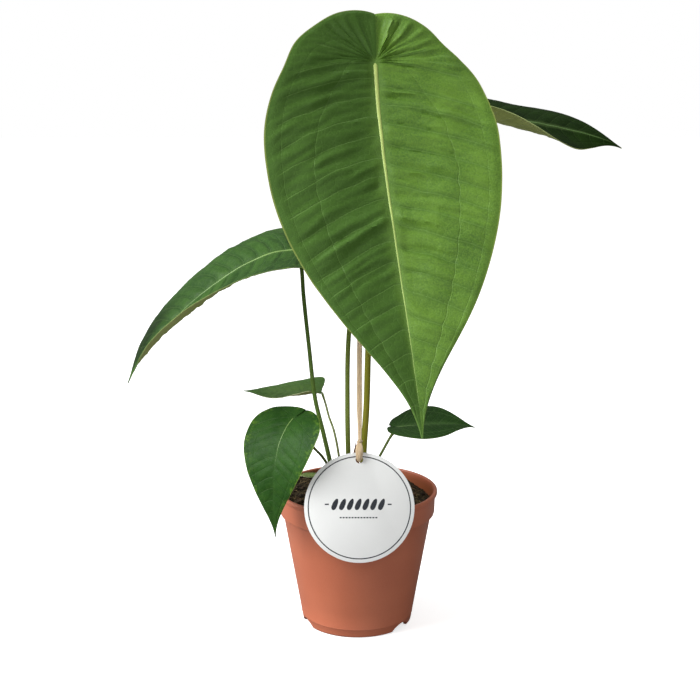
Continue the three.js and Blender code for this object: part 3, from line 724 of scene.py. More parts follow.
def bladeGrid(leaf, rows, columns):
    bpy.ops.mesh.primitive_grid_add(
        x_subdivisions=columns, y_subdivisions=rows, size=1, location=(0, 0, 0)
    )
    piece = bpy.context.object
    outline = bladeOutline(leaf)
    spine = midribLine(leaf)
    axes = [bladeAxes(leaf, i / 300) for i in range(301)]
    length, width = leaf["length"], leaf["halfWidth"]
    scale = width / fullHalfWidth
    fields = {name: [] for name in ("veinPlace", "ringDistance", "outerDistance", "across", "along")}
    lifts = []
    for corner in piece.data.vertices:
        spread, q = corner.co.x * 2, clamp(corner.co.y + 0.5)
        across = spread * (0.34 + 0.66 * abs(spread))
        side = 0 if across < 0 else 1
        sign = -1 if side == 0 else 1
        r = abs(across)
        edgeX, edgeY = along(outline, q)
        for warpSide, centre, reach, size in leaf.get("edge", ()):
            if warpSide == side:
                edgeX += size * math.exp(-((q - centre) / reach) ** 2)
        inner = max(0.0, (q - fanShare) / (1 - fanShare)) ** 1.05 * length
        x = edgeX * r
        y = mix(inner, edgeY, r)
        rowLength = math.hypot(edgeX, edgeY - inner)
        # the lobes overlap a little where they meet behind the base
        overlap = ease(q, leaf.get("overlapEnd", 0.1), 0.0) * leaf.get("overlap", 2.0)
        overlap *= math.sqrt(r) * ease(r, 0, 0.04)
        shiftX = -overlap if side == 1 else 0.0
        number = veinNumber(leaf, x * sign, y)
        scallop = 0.012 * width * abs(math.sin(math.pi * number))
        ring = (r - leaf["ring"] * shapeAt(ringShape, q)) * rowLength - scallop + 0.007 * width
        outer = (r - 0.885 * shapeAt(outerShape, q)) * rowLength - 0.5 * scallop
        if q < 0.15:
            ring = r * rowLength + 3
        if q < 0.06:
            outer = r * rowLength + 3
        bulge = abs(math.sin(math.pi * number)) ** 0.75
        fromBase = math.hypot(x, y)
        strength = mix(1.0, 0.32, ease(ring, -1.5, 2.5))
        strength *= ease(outer, 5, -3) * ease(fromBase, 3, 34 * scale) * ease(x, 0.8, 7 * scale)
        strength *= ease(length - y, 0.02 * length, 0.3 * length)
        lift = leaf["pucker"] * (bulge - 0.5) * strength
        lift -= 0.35 * leaf["pucker"] * math.exp(-(ring / (2.2 * scale)) ** 2) * ease(fromBase, 4, 20)
        lift -= 0.2 * leaf["pucker"] * math.exp(-(outer / (2.0 * scale)) ** 2)
        lift += waveLift(leaf, sign * x, y)
        # fine creases that run beside the side veins, stronger on the half that folds away
        crease = noise.noise(Vector((number * 2.7, sign * x / (42 * scale), 2.5)))
        crease += 0.6 * noise.noise(Vector((number * 5.5, sign * x / (24 * scale), 8.5)))
        crease += 0.3 * noise.noise(Vector((number * 9.5, sign * x / (15 * scale), 5.5)))
        crease *= ease(x, 1, 9 * scale) * ease(r, 1.0, 0.8)
        crease *= mix(1.0, 0.3, ease(y, 0.45 * length, 0.78 * length))
        lift += leaf["crease"][side] * crease
        for foldSide, across0, along0, reachX, reachY, turn, height in leaf.get("folds", ()):
            if foldSide == side:
                awayX = (x - across0) / reachX
                awayY = (y - along0 - turn * (x - across0)) / reachY
                lift += height * math.exp(-awayX ** 2 - awayY ** 2) * ease(x, 1, 8)
        lift -= 0.9 * scale * ease(r, 0.93, 1.0)
        if side == 1:
            lift += 0.9 * ease(q, 0.12, 0.0) * ease(r, 0.0, 0.25)
        else:
            lift -= 0.5 * ease(q, 0.12, 0.0) * ease(r, 0.0, 0.25)
        share = clamp(y / length)
        if y <= 0:
            centre = spine[0] + axes[0][0] * y
        else:
            centre = along(spine, share)
        forward, right, up = along(axes, share)
        rise = math.radians(mix(*leaf["rise"][side], share))
        curl = math.radians(mix(*leaf["curl"][side], share))
        bend = (curl if abs(curl) > 1e-4 else 1e-4) / width
        tilt = rise + bend * x
        out = (math.sin(tilt) - math.sin(rise)) / bend
        high = (math.cos(rise) - math.cos(tilt)) / bend
        spot = centre + right * (sign * out + shiftX) + up * high
        spot += (up * math.cos(tilt) - right * (sign * math.sin(tilt))) * lift
        corner.co = spot * mm
        for name, value in zip(fields, (number, ring, outer, across, q)):
            fields[name].append(value)
    for name, values in fields.items():
        piece.data.attributes.new(name, "FLOAT", "POINT").data.foreach_set("value", values)
    layer = piece.data.uv_layers.active
    for loop in piece.data.loops:
        spot = (fields["across"][loop.vertex_index], fields["along"][loop.vertex_index])
        layer.data[loop.index].uv = (0.5 + 0.5 * spot[0], spot[1])
    editAll(piece)
    bpy.ops.mesh.remove_doubles(threshold=0.000003)
    leaveEdit()
    return piece, spine, axes


# A tube of changing radius along places, made from a curve and turned into a mesh
def tube(name, spots, radii, sides=5):
    bpy.ops.curve.primitive_nurbs_path_add(location=(0, 0, 0))
    piece = bpy.context.object
    piece.name = name
    piece.data.splines.clear()
    spline = piece.data.splines.new("POLY")
    spline.points.add(len(spots) - 1)
    for point, spot, radius in zip(spline.points, spots, radii):
        point.co = (*spot, 1)
        point.radius = radius
    piece.data.bevel_depth = 1.0
    piece.data.bevel_resolution = sides
    piece.data.use_fill_caps = True
    piece.data.dimensions = "3D"
    pick(piece)
    bpy.ops.object.convert(target="MESH")
    piece = bpy.context.object
    editAll(piece)
    bpy.ops.mesh.remove_doubles(threshold=0.000002)
    bpy.ops.mesh.normals_make_consistent(inside=False)
    leaveEdit()
    return piece


def midribTube(leaf, spine, axes):
    thick, thin = leaf["midrib"]
    spots, radii, shares = [], [], []
    count = 90
    for i in range(count + 1):
        share = 0.975 * i / count
        radius = mix(thick, thin, 1 - (1 - share) ** 1.5)
        up = along(axes, share)[2]
        tip = ease(share, 0.975, 0.9)
        rounding = min(1.0, 0.35 + 0.65 * math.sqrt(clamp(share * leaf["length"] / thick)))
        rise = waveLift(leaf, 0, share * leaf["length"]) - radius * 0.35
        spots.append((along(spine, share) + up * rise) * mm)
        radii.append(max(0.05, radius * mix(0.3, 1.0, tip) * rounding) * mm)
        shares.append(share)
    rib = tube("rib", spots, radii, 4)
    nearest = []
    for corner in rib.data.vertices:
        near = min(range(0, count + 1), key=lambda i: (spots[i] - corner.co).length_squared)
        nearest.append(shares[near])
    rib.data.attributes.new("along", "FLOAT", "POINT").data.foreach_set("value", nearest)
    return rib


leafLooks = {
    "front_leaf": {
        "deep": colour(0.052, 0.125, 0.015), "fresh": colour(0.165, 0.310, 0.034),
        "vein": colour(0.22, 0.38, 0.10), "marginColour": colour(0.28, 0.34, 0.08),
        "roughness": 0.44, "veinGap": 15.0, "veinWidth": 0.65, "reach": 70.0, "net": 0.05,
        "lines": 0.17, "ringLines": 0.12, "valleyShade": 0.4, "midribSheen": 0.22, "patchSize": 26.0,
        "patches": 0.45, "speckle": 0.4, "shadeHalf": 0.95,
    },
    "left_leaf": {
        "deep": colour(0.016, 0.048, 0.009), "fresh": colour(0.040, 0.100, 0.016), "specular": 0.1,
        "vein": colour(0.10, 0.18, 0.05), "marginColour": colour(0.20, 0.27, 0.09), "margin": 1.0,
        "roughness": 0.4, "veinGap": 12.0, "veinWidth": 0.6, "reach": 50.0, "net": 0.1,
        "lines": 0.2, "ringLines": 0.12, "valleyShade": 0.8, "midribSheen": 0.1, "blotch": 0.55,
        "blotchColour": colour(0.085, 0.17, 0.02), "tipShade": 0.85,
    },
    "upper_right_leaf": {
        "deep": colour(0.004, 0.014, 0.001), "fresh": colour(0.010, 0.030, 0.002), "specular": 0.03,
        "vein": colour(0.12, 0.20, 0.06), "marginColour": colour(0.42, 0.50, 0.20), "margin": 1.0,
        "roughness": 0.5, "veinGap": 11.0, "veinWidth": 0.55, "reach": 50.0, "net": 0.03,
        "lines": 0.08, "ringLines": 0.06,
    },
    "small_left_leaf": {
        "deep": colour(0.075, 0.180, 0.036), "fresh": colour(0.170, 0.310, 0.074), "specular": 0.12,
        "vein": colour(0.16, 0.28, 0.10), "marginColour": colour(0.55, 0.62, 0.34), "margin": 1.0,
        "roughness": 0.4, "veinGap": 6.0, "veinWidth": 0.35, "reach": 30.0, "netSize": 330.0,
        "lines": 0.35,
    },
    "low_left_leaf": {
        "deep": colour(0.012, 0.048, 0.006), "fresh": colour(0.031, 0.095, 0.014),
        "vein": colour(0.09, 0.17, 0.05), "marginColour": colour(0.22, 0.32, 0.05),
        "roughness": 0.4, "veinGap": 9.0, "veinWidth": 0.4, "reach": 40.0, "netSize": 300.0,
        "lines": 0.22, "ringLines": 0.1, "net": 0.06, "specular": 0.09, "midribSheen": 0.06, "blotch": 0.6,
        "blotchColour": colour(0.10, 0.20, 0.02),
    },
    "low_right_leaf": {
        "deep": colour(0.011, 0.040, 0.005), "fresh": colour(0.026, 0.075, 0.010), "specular": 0.08,
        "vein": colour(0.10, 0.19, 0.06), "marginColour": colour(0.12, 0.19, 0.05),
        "roughness": 0.42, "veinGap": 6.0, "veinWidth": 0.35, "reach": 30.0, "netSize": 330.0,
        "lines": 0.25,
    },
}
undersideLook = {
    "deep": colour(0.31, 0.37, 0.10), "fresh": colour(0.41, 0.46, 0.15),
    "vein": colour(0.36, 0.42, 0.18), "marginColour": colour(0.28, 0.33, 0.12),
    "roughness": 0.6, "specular": 0.15, "valleyShade": 0.1, "lines": 0.75, "ringLines": 0.6, "groove": -1.2,
}
midribMain = midribMaterial("midribPale", colour(0.52, 0.64, 0.18), colour(0.36, 0.52, 0.13))
midribSmall = midribMaterial("midribGreen", colour(0.17, 0.28, 0.07), colour(0.08, 0.17, 0.04))



def leafPiece(leaf, upper, under, rows, columns, thickness, ribMaterial):
    blade, spine, axes = bladeGrid(leaf, rows, columns)
    blade.data.materials.append(upper)
    blade.data.materials.append(under)
    applyModifier(
        blade, "SOLIDIFY", thickness=thickness * mm, offset=0, material_offset=1, use_even_offset=False
    )
    rib = midribTube(leaf, spine, axes)
    rib.data.materials.append(ribMaterial)
    smooth(rib)
    smooth(blade, 60)
    joinPieces(blade, [rib])
    return blade, spine, axes


spines = {}
for name, leaf in leafSizes.items():
    look = leafLooks[name]
    under = dict(
        undersideLook, veinGap=look["veinGap"], veinWidth=look["veinWidth"], reach=look["reach"]
    )
    blade, spine, axes = leafPiece(
        leaf, leafMaterial(name + "Upper", look), leafMaterial(name + "Under", under),
        leaf["rows"], leaf["columns"], bladeThickness,
        midribMain if name == "front_leaf" else midribSmall,
    )
    spines[name] = (spine, axes)
    finish(blade, name.replace("_leaf", "Leaf") + "Blade", "leaf", name + "_blade")
    print("blade done:", name, len(blade.data.polygons))


# The stalks: points run from the crown up to the blade's base
stalkSizes = {
    "front_leaf": {
        "foot": 2.5, "top": 1.9, "knee": 0.5, "slot": "olive_stalk",
        "points": [
            (4.6, 0, -3), (4.7, 0, 38), (6.8, 0, 73), (7.8, -1, 113),
            (9.1, -2, 154), (10.7, -3, 227), (11.6, -3, 285),
        ],
        "low": colour(0.36, 0.345, 0.035), "high": colour(0.16, 0.23, 0.03),
        "blush": colour(0.32, 0.23, 0.04),
    },
    "left_leaf": {
        "foot": 1.8, "top": 1.4, "knee": 0.5, "slot": "green_stalk",
        "points": [
            (-13.5, 0, -3), (-20.7, 0, 32.8), (-25.6, 0, 55), (-31.2, 0, 79.7),
            (-35.6, 0, 120), (-39.3, 0, 158), (-40.4, 0, 176),
        ],
        "low": colour(0.20, 0.33, 0.07), "high": colour(0.06, 0.13, 0.02),
        "blush": colour(0.20, 0.27, 0.07),
    },
    "upper_right_leaf": {
        "foot": 1.9, "top": 1.5, "knee": 0.4, "slot": "green_stalk",
        "points": [
            (-6, 4, -3), (-6.6, 4, 30), (-7.3, 5, 72), (-6.3, 7, 126),
            (1, 15, 184), (18, 29, 236), (42, 45, 277),
        ],
        "low": colour(0.29, 0.36, 0.08), "high": colour(0.12, 0.21, 0.04),
        "blush": colour(0.26, 0.28, 0.07),
    },
    "small_left_leaf": {
        "foot": 1.0, "top": 0.8, "knee": 0.2, "slot": "pale_stalk",
        "points": [
            (-10.5, 6.5, -3), (-13.9, 8, 34), (-17.5, 12, 51.7),
            (-21.2, 16, 61.5), (-24, 20.5, 71),
        ],
        "low": colour(0.36, 0.40, 0.16), "high": colour(0.30, 0.38, 0.14),
        "blush": colour(0.40, 0.38, 0.18),
    },
    "low_left_leaf": {
        "foot": 1.1, "top": 0.9, "knee": 0.2, "slot": "green_stalk",
        "points": [
            (-13, -5, -3), (-20.4, -7, 27), (-25.6, -10, 37.6),
            (-32.2, -14.5, 46.5), (-40, -23, 60.5),
        ],
        "low": colour(0.14, 0.18, 0.05), "high": colour(0.10, 0.16, 0.04),
        "blush": colour(0.20, 0.14, 0.05),
    },
    "low_right_leaf": {
        "foot": 1.2, "top": 0.9, "knee": 0.3, "slot": "green_stalk",
        "points": [
            (0, -6, -3), (6.5, -6.6, 18), (11.7, -6, 28.1),
            (18.5, -5.4, 40.5), (24.6, -4.2, 51.5),
        ],
        "low": colour(0.20, 0.26, 0.08), "high": colour(0.13, 0.20, 0.05),
        "blush": colour(0.28, 0.26, 0.10),
    },
}


# Smooth line through places, with its points at equal steps (a centripetal spline)
def smoothRoute(points, count):
    places = [Vector(p) for p in points]
    ends = [places[0] * 2 - places[1], *places, places[-1] * 2 - places[-2]]
    fine = []
    for a, b, c, d in zip(ends, ends[1:], ends[2:], ends[3:]):
        ta = 0.0
        tb = ta + math.sqrt((b - a).length)
        tc = tb + math.sqrt((c - b).length)
        td = tc + math.sqrt((d - c).length)
        for i in range(24):
            t = mix(tb, tc, i / 24)
            ab = a * ((tb - t) / (tb - ta)) + b * ((t - ta) / (tb - ta))
            bc = b * ((tc - t) / (tc - tb)) + c * ((t - tb) / (tc - tb))
            cd = c * ((td - t) / (td - tc)) + d * ((t - tc) / (td - tc))
            abc = ab * ((tc - t) / (tc - ta)) + bc * ((t - ta) / (tc - ta))
            bcd = bc * ((td - t) / (td - tb)) + cd * ((t - tb) / (td - tb))
            fine.append(abc * ((tc - t) / (tc - tb)) + bcd * ((t - tb) / (tc - tb)))
    fine.append(places[-1])
    reach = [0.0]
    for a, b in zip(fine, fine[1:]):
        reach.append(reach[-1] + (b - a).length)
    route, j = [], 0
    for i in range(count + 1):
        want = reach[-1] * i / count
        while j < len(reach) - 2 and reach[j + 1] < want:
            j += 1
        span = max(reach[j + 1] - reach[j], 1e-9)
        route.append(fine[j].lerp(fine[j + 1], clamp((want - reach[j]) / span)))
    return route, reach[-1]


def stalkMaterial(name, look):
    material, tree, shader = startMaterial(name, 0.5, 0.1)
    place = objectPlace(tree)
    spots = mottled(tree, place, 55.0, 1300.0)
    strands = fibrous(tree, place, (1.0, 1.0, 0.05), 1100.0)
    base = tint(tree, readAttribute(tree, "along"), look["low"], look["high"])
    base = wash(tree, base, spots["Patches"], 0.3, look["blush"])
    base = wash(tree, base, strands["Lines"], 0.22, look["high"])
    base = wash(tree, base, fadeIn(tree, spots["Speckle"], 0.86, 1.0), 0.3, colour(0.10, 0.05, 0.02))
    joinShader(tree, shader, base, strands["Lines"], 0.35, 0.00025)
    return material


for name, stalk in stalkSizes.items():
    leaf = leafSizes[name]
    spine, axes = spines[name]
    knee = stalk["top"] + stalk["knee"]
    top = spine[0] - axes[0][2] * (0.6 + 0.55 * knee)
    points = [Vector(p) + Vector((0, 0, soilLevel)) for p in stalk["points"]] + [top]
    count = 110
    route, length = smoothRoute(points, count)
    radii, shares = [], []
    for i, spot in enumerate(route):
        reach = length * i / count
        share = reach / length
        radius = mix(stalk["foot"], stalk["top"], share)
        fromKnee = (length - reach - 3.2 * stalk["top"]) / (3.4 * stalk["top"])
        radius += stalk["knee"] * math.exp(-fromKnee ** 2)
        radius *= 1 + 0.035 * noise.noise(Vector((reach / 16, 0, stalk["foot"] * 7)))
        radius += 0.9 * math.exp(-((reach / (3.5 * stalk["foot"])) ** 2))
        fromEnd = clamp((length - reach) / stalk["top"])
        radii.append(radius * max(0.25, math.sqrt(1 - (1 - fromEnd) ** 2)) * mm)
        shares.append(share)
    piece = tube(name, [spot * mm for spot in route], radii, 6)
    nearest = []
    for corner in piece.data.vertices:
        near = min(range(count + 1), key=lambda i: (route[i] * mm - corner.co).length_squared)
        nearest.append(shares[near])
        # a shallow channel runs down the side that faces the crown's middle
        away = corner.co - route[near] * mm
        if away.y > 0 and abs(away.x) < 0.35 * radii[near]:
            corner.co -= away * 0.10
    piece.data.attributes.new("along", "FLOAT", "POINT").data.foreach_set("value", nearest)
    piece.data.materials.clear()
    piece.data.materials.append(stalkMaterial(name + "Stalk", stalk))
    smooth(piece)
    finish(piece, name.replace("_leaf", "Leaf") + "Stalk", stalk["slot"], name + "_stalk")
print("stalks done")


# The crown, and the papery sheaths round its foot
crown = {"width": 30, "depth": 21, "height": 22, "place": (-4, 0, -6), "lumps": 1.1}
bpy.ops.mesh.primitive_uv_sphere_add(segments=72, ring_count=40, radius=1, location=(0, 0, 0))
crownPiece = bpy.context.object
for corner in crownPiece.data.vertices:
    direction = corner.co.copy()
    bumps = noise.noise(direction * 4.5) + 0.5 * noise.noise(direction * 11)
    rings = 0.35 * math.sin(direction.z * 26)
    size = 1 + 0.045 * crown["lumps"] * (bumps + rings)
    corner.co = Vector((
        crown["place"][0] + direction.x * size * crown["width"] / 2,
        crown["place"][1] + direction.y * size * crown["depth"] / 2,
        soilLevel + crown["place"][2] + direction.z * size * crown["height"] / 2,
    )) * mm
crownMaterial, tree, shader = startMaterial("crownTissue", 0.7, 0.3)
place = objectPlace(tree)
spots = mottled(tree, place, 150.0, 900.0)
strands = fibrous(tree, place, (1.0, 1.0, 0.2), 500.0)
base = tint(tree, spots["Patches"], colour(0.11, 0.085, 0.03), colour(0.17, 0.15, 0.05))
base = wash(tree, base, strands["Lines"], 0.6, colour(0.07, 0.035, 0.018))
joinShader(tree, shader, base, strands["Lines"], 0.7, 0.0006)
crownPiece.data.materials.append(crownMaterial)
smooth(crownPiece)
finish(crownPiece, "crownStem", "crown_tissue", "crown")

sheathMaterial, tree, shader = startMaterial("drySheath", 0.72, 0.3)
place = objectPlace(tree)
spots = mottled(tree, place, 120.0, 900.0)
strands = fibrous(tree, place, (1.0, 1.0, 0.06), 900.0)
base = tint(tree, spots["Patches"], colour(0.36, 0.13, 0.06), colour(0.50, 0.24, 0.12))
base = wash(tree, base, strands["Lines"], 0.7, colour(0.16, 0.05, 0.025))
joinShader(tree, shader, base, strands["Lines"], 0.9, 0.0005)


def addSheath(name, change, *nodes):
    leaf = {
        "base": (-1.4, -8.2, 6), "heading": -90, "turn": (4, 8), "pitch": (95, 92, 78, 80),
        "roll": (0, 0, 0), "length": 44, "halfWidth": 3.4, "notch": 0.5, "lobe": 0.03,
        "lobeReach": 0.8, "shoulder": 0.5,
        "widest": 0.4, "fullness": 0.5, "tipFullness": 0.3,
        "rise": ((8, 8), (8, 8)), "curl": ((25, 25), (25, 25)), "wave": 0.5, "ring": 0.6,
        "veins": 3, "fan": 0, "slant": (0.3, 0.3), "pucker": 0.1, "crease": (0.1, 0.1), "overlap": 0,
    }
    leaf.update(change)
    piece = bladeGrid(leaf, 60, 20)[0]
    piece.data.materials.append(sheathMaterial)
    applyModifier(piece, "SOLIDIFY", thickness=0.4 * mm, offset=0)
    smooth(piece, 60)
    return finish(piece, name, "dried_sheath", *nodes)


addSheath("drySheath", {}, "dry_sheath")
addSheath("footSheathLeft", {
    "base": (-13.5, -4.5, 2), "heading": -60, "pitch": (96, 98, 104, 112), "length": 24, "halfWidth": 4.6,
    "curl": ((55, 55), (55, 55)), "wave": 0.9,
})
addSheath("footSheathRight", {
    "base": (7.5, 3.8, 2), "heading": 80, "pitch": (96, 100, 106, 118), "length": 28, "halfWidth": 5.2,
    "curl": ((50, 50), (50, 50)), "wave": 0.9,
})
addSheath("footSheathBack", {
    "base": (-7, 7.8, 3), "heading": 110, "pitch": (92, 92, 100, 116), "length": 19, "halfWidth": 4.2,
    "curl": ((60, 60), (60, 60)), "wave": 0.7,
})
print("crown and sheaths done")


# The soil: a heaped surface, then loose crumbs, flakes and strands on it
soil = {"mound": 9, "crumbs": 900, "fibres": 260, "flakes": 130, "seed": 7}
random.seed(soil["seed"])


def soilHeight(x, y):
    towardsHeap = ease(-0.5 * x + 0.87 * y, -18, 52)
    lumps = 0.7 * math.sin(0.31 * x + 1.3) * math.cos(0.27 * y - 0.4)
    lumps += 0.4 * math.sin(0.63 * y + 0.41 * x)
    return soil["mound"] * towardsHeap + lumps * ease(56 - math.hypot(x, y), 0, 10)


def soilSurface(x, y):
    spot = Vector((x, y, 0))
    crumb = noise.multi_fractal(spot / 7, 1.0, 2.0, 4) - 0.9
    pits = noise.noise(spot / 3.2) + 0.6 * noise.noise(spot / 1.3)
    return soilHeight(x, y) + 0.75 * crumb + 0.45 * pits


def soilProfile():
    edge = neckRadius + pot["collarStep"] - pot["wall"] - 0.5
    bottom = floorTop + 0.3
    rows = [(0, 1.6), (11.8, 1.6), (16.3, bottom), (bodyRadius(floorTop) - pot["wall"] - 2.2, bottom)]
    rows += [(bodyRadius(z) - pot["wall"] - 0.4, z) for z in (floorTop + 2.2, 40, collarBottom - 1)]
    rows += [(edge, collarBottom + 3.8), (edge, soilLevel)]
    rings = 96
    rows += [(edge * (rings - i) / rings, soilLevel) for i in range(1, rings)] + [(0, soilLevel)]
    return rows


soilPiece = spinProfile(soilProfile(), 260)
for corner in soilPiece.data.vertices:
    if abs(corner.co.z - soilLevel * mm) < 1e-6:
        x, y = corner.co.x / mm, corner.co.y / mm
        corner.co.z = (soilLevel + soilSurface(x, y)) * mm
soilMaterial, tree, shader = startMaterial("pottingMix", 0.92, 0.25)
place = objectPlace(tree)
spots = mottled(tree, place, 140.0, 1100.0)
strands = fibrous(tree, place, (1.0, 0.25, 1.0), 900.0)
base = tint(tree, spots["Patches"], colour(0.010, 0.006, 0.003), colour(0.034, 0.022, 0.011))
base = wash(tree, base, strands["Lines"], 0.5, colour(0.11, 0.085, 0.035))
pale = fadeIn(tree, spots["Speckle"], 0.75, 1.0, 0.0, 0.8)
base = tint(tree, pale, base, colour(0.24, 0.20, 0.09))
grain = calc(tree, "ADD", spots["Speckle"], strands["Lines"])
joinShader(tree, shader, base, grain, 0.9, 0.0008)
soilPiece.data.materials.append(soilMaterial)
smooth(soilPiece, 50)
finish(soilPiece, "pottingSoil", "potting_mix", "potting_soil")


def soilSpot(reach=53.5):
    while True:
        x, y = random.uniform(-reach, reach), random.uniform(-reach, reach)
        if math.hypot(x, y) < reach:
            return x, y


def scatter(name, count, build, material, slot="potting_mix"):
    heap = bmesh.new()
    for _ in range(count):
        build(heap)
    bpy.ops.mesh.primitive_plane_add(size=0.01, location=(0, 0, 0))
    piece = bpy.context.object
    bmesh.ops.recalc_face_normals(heap, faces=heap.faces)
    heap.to_mesh(piece.data)
    heap.free()
    piece.data.materials.append(material)
    return finish(piece, name, slot)


def addCrumb(heap):
    x, y = soilSpot()
    size = random.uniform(0.5, 1.0) * random.choice((1, 1, 1.6, 2.3))
    turn = Matrix.Rotation(random.uniform(0, 6.28), 4, random.choice("XYZ"))
    made = bmesh.ops.create_icosphere(heap, subdivisions=1, radius=1, matrix=turn)
    stretch = Vector((random.uniform(0.6, 1.3), random.uniform(0.6, 1.3), random.uniform(0.5, 0.9)))
    for corner in made["verts"]:
        rough = 1 + 0.35 * noise.noise(corner.co * 2.3 + Vector((x, y, size)))
        shaped = Vector(a * b for a, b in zip(corner.co * rough, stretch)) * size
        corner.co = (shaped + Vector((x, y, soilLevel + soilSurface(x, y) + 0.25 * size))) * mm


def addFlake(heap):
    x, y = soilSpot(51)
    long, wide, thick = random.uniform(2.5, 6.5), random.uniform(1.0, 2.4), random.uniform(0.35, 0.8)
    heading, tip = random.uniform(0, 6.28), random.uniform(-0.5, 0.5)
    tilt = Matrix.Rotation(tip, 4, "Y") @ Matrix.Rotation(tip * 0.7, 4, "X")
    turn = Matrix.Rotation(heading, 4, "Z") @ tilt
    made = bmesh.ops.create_cube(heap, size=1)
    sides = list({e for v in made["verts"] for e in v.link_edges})
    bmesh.ops.subdivide_edges(heap, edges=sides, cuts=1, use_grid_fill=True)
    for corner in [v for v in heap.verts if v.co.length < 0.9 and not v.tag]:
        corner.tag = True
        ragged = 1 + 0.5 * noise.noise(corner.co * 3 + Vector((x, y, 0)))
        shaped = Vector((corner.co.x * long * ragged, corner.co.y * wide * ragged, corner.co.z * thick))
        shaped = turn @ shaped
        corner.co = (shaped + Vector((x, y, soilLevel + soilSurface(x, y) + 0.5))) * mm


def addStrand(heap):
    x, y = soilSpot(52)
    long = random.uniform(4, 15)
    heading = random.uniform(0, 6.28)
    bendBy = random.uniform(-0.9, 0.9)
    radius = random.uniform(0.1, 0.26)
    rings = []
    pieces = 6
    for i in range(pieces + 1):
        t = i / pieces
        angle = heading + bendBy * t
        x += math.cos(angle) * long / pieces
        y += math.sin(angle) * long / pieces
        if math.hypot(x, y) > 55:
            x, y = x * 55 / math.hypot(x, y), y * 55 / math.hypot(x, y)
        lift = 0.5 + 1.4 * math.sin(math.pi * t) * abs(bendBy)
        centre = Vector((x, y, soilLevel + soilSurface(x, y) + lift))
        sideways = Vector((-math.sin(angle), math.cos(angle), 0))
        taper = radius * (1 - 0.6 * abs(2 * t - 1) ** 3)
        rings.append([
            heap.verts.new((centre + sideways * taper * a + Vector((0, 0, taper * b))) * mm)
            for a, b in ((1, 0), (0, 1), (-1, 0), (0, -1))
        ])
    for low, high in zip(rings, rings[1:]):
        for k in range(4):
            heap.faces.new((low[k], low[(k + 1) % 4], high[(k + 1) % 4], high[k]))
    heap.faces.new(rings[0][::-1])
    heap.faces.new(rings[-1])


def looseMaterial(name, dark, light, roughness=0.85):
    material, tree, shader = startMaterial(name, roughness, 0.3)
    place = objectPlace(tree)
    spots = mottled(tree, place, 190.0, 1500.0)
    strands = fibrous(tree, place, (1.0, 0.3, 1.0), 1200.0)
    base = tint(tree, spots["Patches"], dark, light)
    base = wash(tree, base, strands["Lines"], 0.4, dark)
    joinShader(tree, shader, base, strands["Lines"], 0.7, 0.0003)
    return material


crumbMaterial = looseMaterial("peatCrumbs", colour(0.014, 0.009, 0.005), colour(0.055, 0.036, 0.017))
flakeMaterial = looseMaterial("barkFlakes", colour(0.045, 0.028, 0.013), colour(0.17, 0.13, 0.055))
strandMaterial = looseMaterial("coirStrands", colour(0.10, 0.06, 0.025), colour(0.27, 0.19, 0.09))
scatter("soilCrumbs", soil["crumbs"], addCrumb, crumbMaterial)
scatter("soilFlakes", soil["flakes"], addFlake, flakeMaterial)
scatter("soilStrands", soil["fibres"], addStrand, strandMaterial)
print("soil done")


# Loose pieces: a fallen young leaf and chips of bark
fallenLeaf = {
    "base": (-31, 31, soilHeight(-38, 31) + 2), "heading": 176, "turn": (2, 4),
    "pitch": (4, 2, 0, -4), "roll": (8, 6, 4),
    "length": 15, "halfWidth": 4.4, "notch": 0.2, "lobe": 0.06, "lobeReach": 0.7, "shoulder": 0.5,
    "widest": 0.35, "fullness": 0.5, "tipFullness": 0.3,
    "rise": ((10, 6), (10, 6)), "curl": ((-10, -10), (-10, -10)), "wave": 0.2, "ring": 0.7,
    "veins": 7, "fan": 1, "slant": (0.4, 0.7), "pucker": 0.12, "crease": (0.05, 0.05),
    "midrib": (0.4, 0.15), "overlap": 0,
}
fallenVeins = {"veinGap": 2.0, "veinWidth": 0.2, "reach": 9.0}
fallenLook = dict(leafLooks["small_left_leaf"])
fallenLook.update(
    fallenVeins, vein=colour(0.34, 0.42, 0.16),
    deep=colour(0.06, 0.11, 0.02), fresh=colour(0.11, 0.17, 0.035),
)
blade = leafPiece(
    fallenLeaf, leafMaterial("fallenLeafUpper", fallenLook),
    leafMaterial("fallenLeafUnder", dict(undersideLook, **fallenVeins)),
    48, 28, 0.35, midribMain,
)[0]
finish(blade, "fallenLeaf", "leaf", "soil_leaf")

chips = [(40, 12, 25, 10, 5), (33, -22, -40, 8, 4.4), (-44, -14, 70, 9, 4.6), (22, 33, 110, 9, 5)]
chipMaterial = looseMaterial("barkChip", colour(0.05, 0.028, 0.015), colour(0.15, 0.09, 0.045), 0.8)
for index, (x, y, turn, length, width) in enumerate(chips):
    bpy.ops.mesh.primitive_cube_add(size=1, location=(0, 0, 0))
    chip = bpy.context.object
    editAll(chip)
    bpy.ops.mesh.subdivide(number_cuts=11)
    leaveEdit()
    for corner in chip.data.vertices:
        p = corner.co
        pointed = 1 - 0.45 * abs(2 * p.x) ** 3
        ragged = 1 + 0.22 * noise.noise(Vector((p.x * 5, p.z * 2, index * 3.1)))
        layers = 0.18 * noise.noise(Vector((p.x * 3, p.y * 14, index * 1.7)))
        high = (p.z * (1.2 + layers) + layers) * 1.3
        corner.co = Vector((p.x * length * ragged, p.y * width * pointed * ragged, high))
    place = Matrix.Translation((x, y, soilLevel + soilHeight(x, y) + 1.9))
    turned = Matrix.Rotation(math.radians(turn), 4, "Z")
    chip.data.transform(Matrix.Scale(mm, 4) @ place @ turned)
    chip.data.materials.append(chipMaterial)
    smooth(chip, 40)
    finish(chip, "barkChip%d" % (index + 1), "bark", "bark_chip_%d" % (index + 1))
print("loose pieces done")


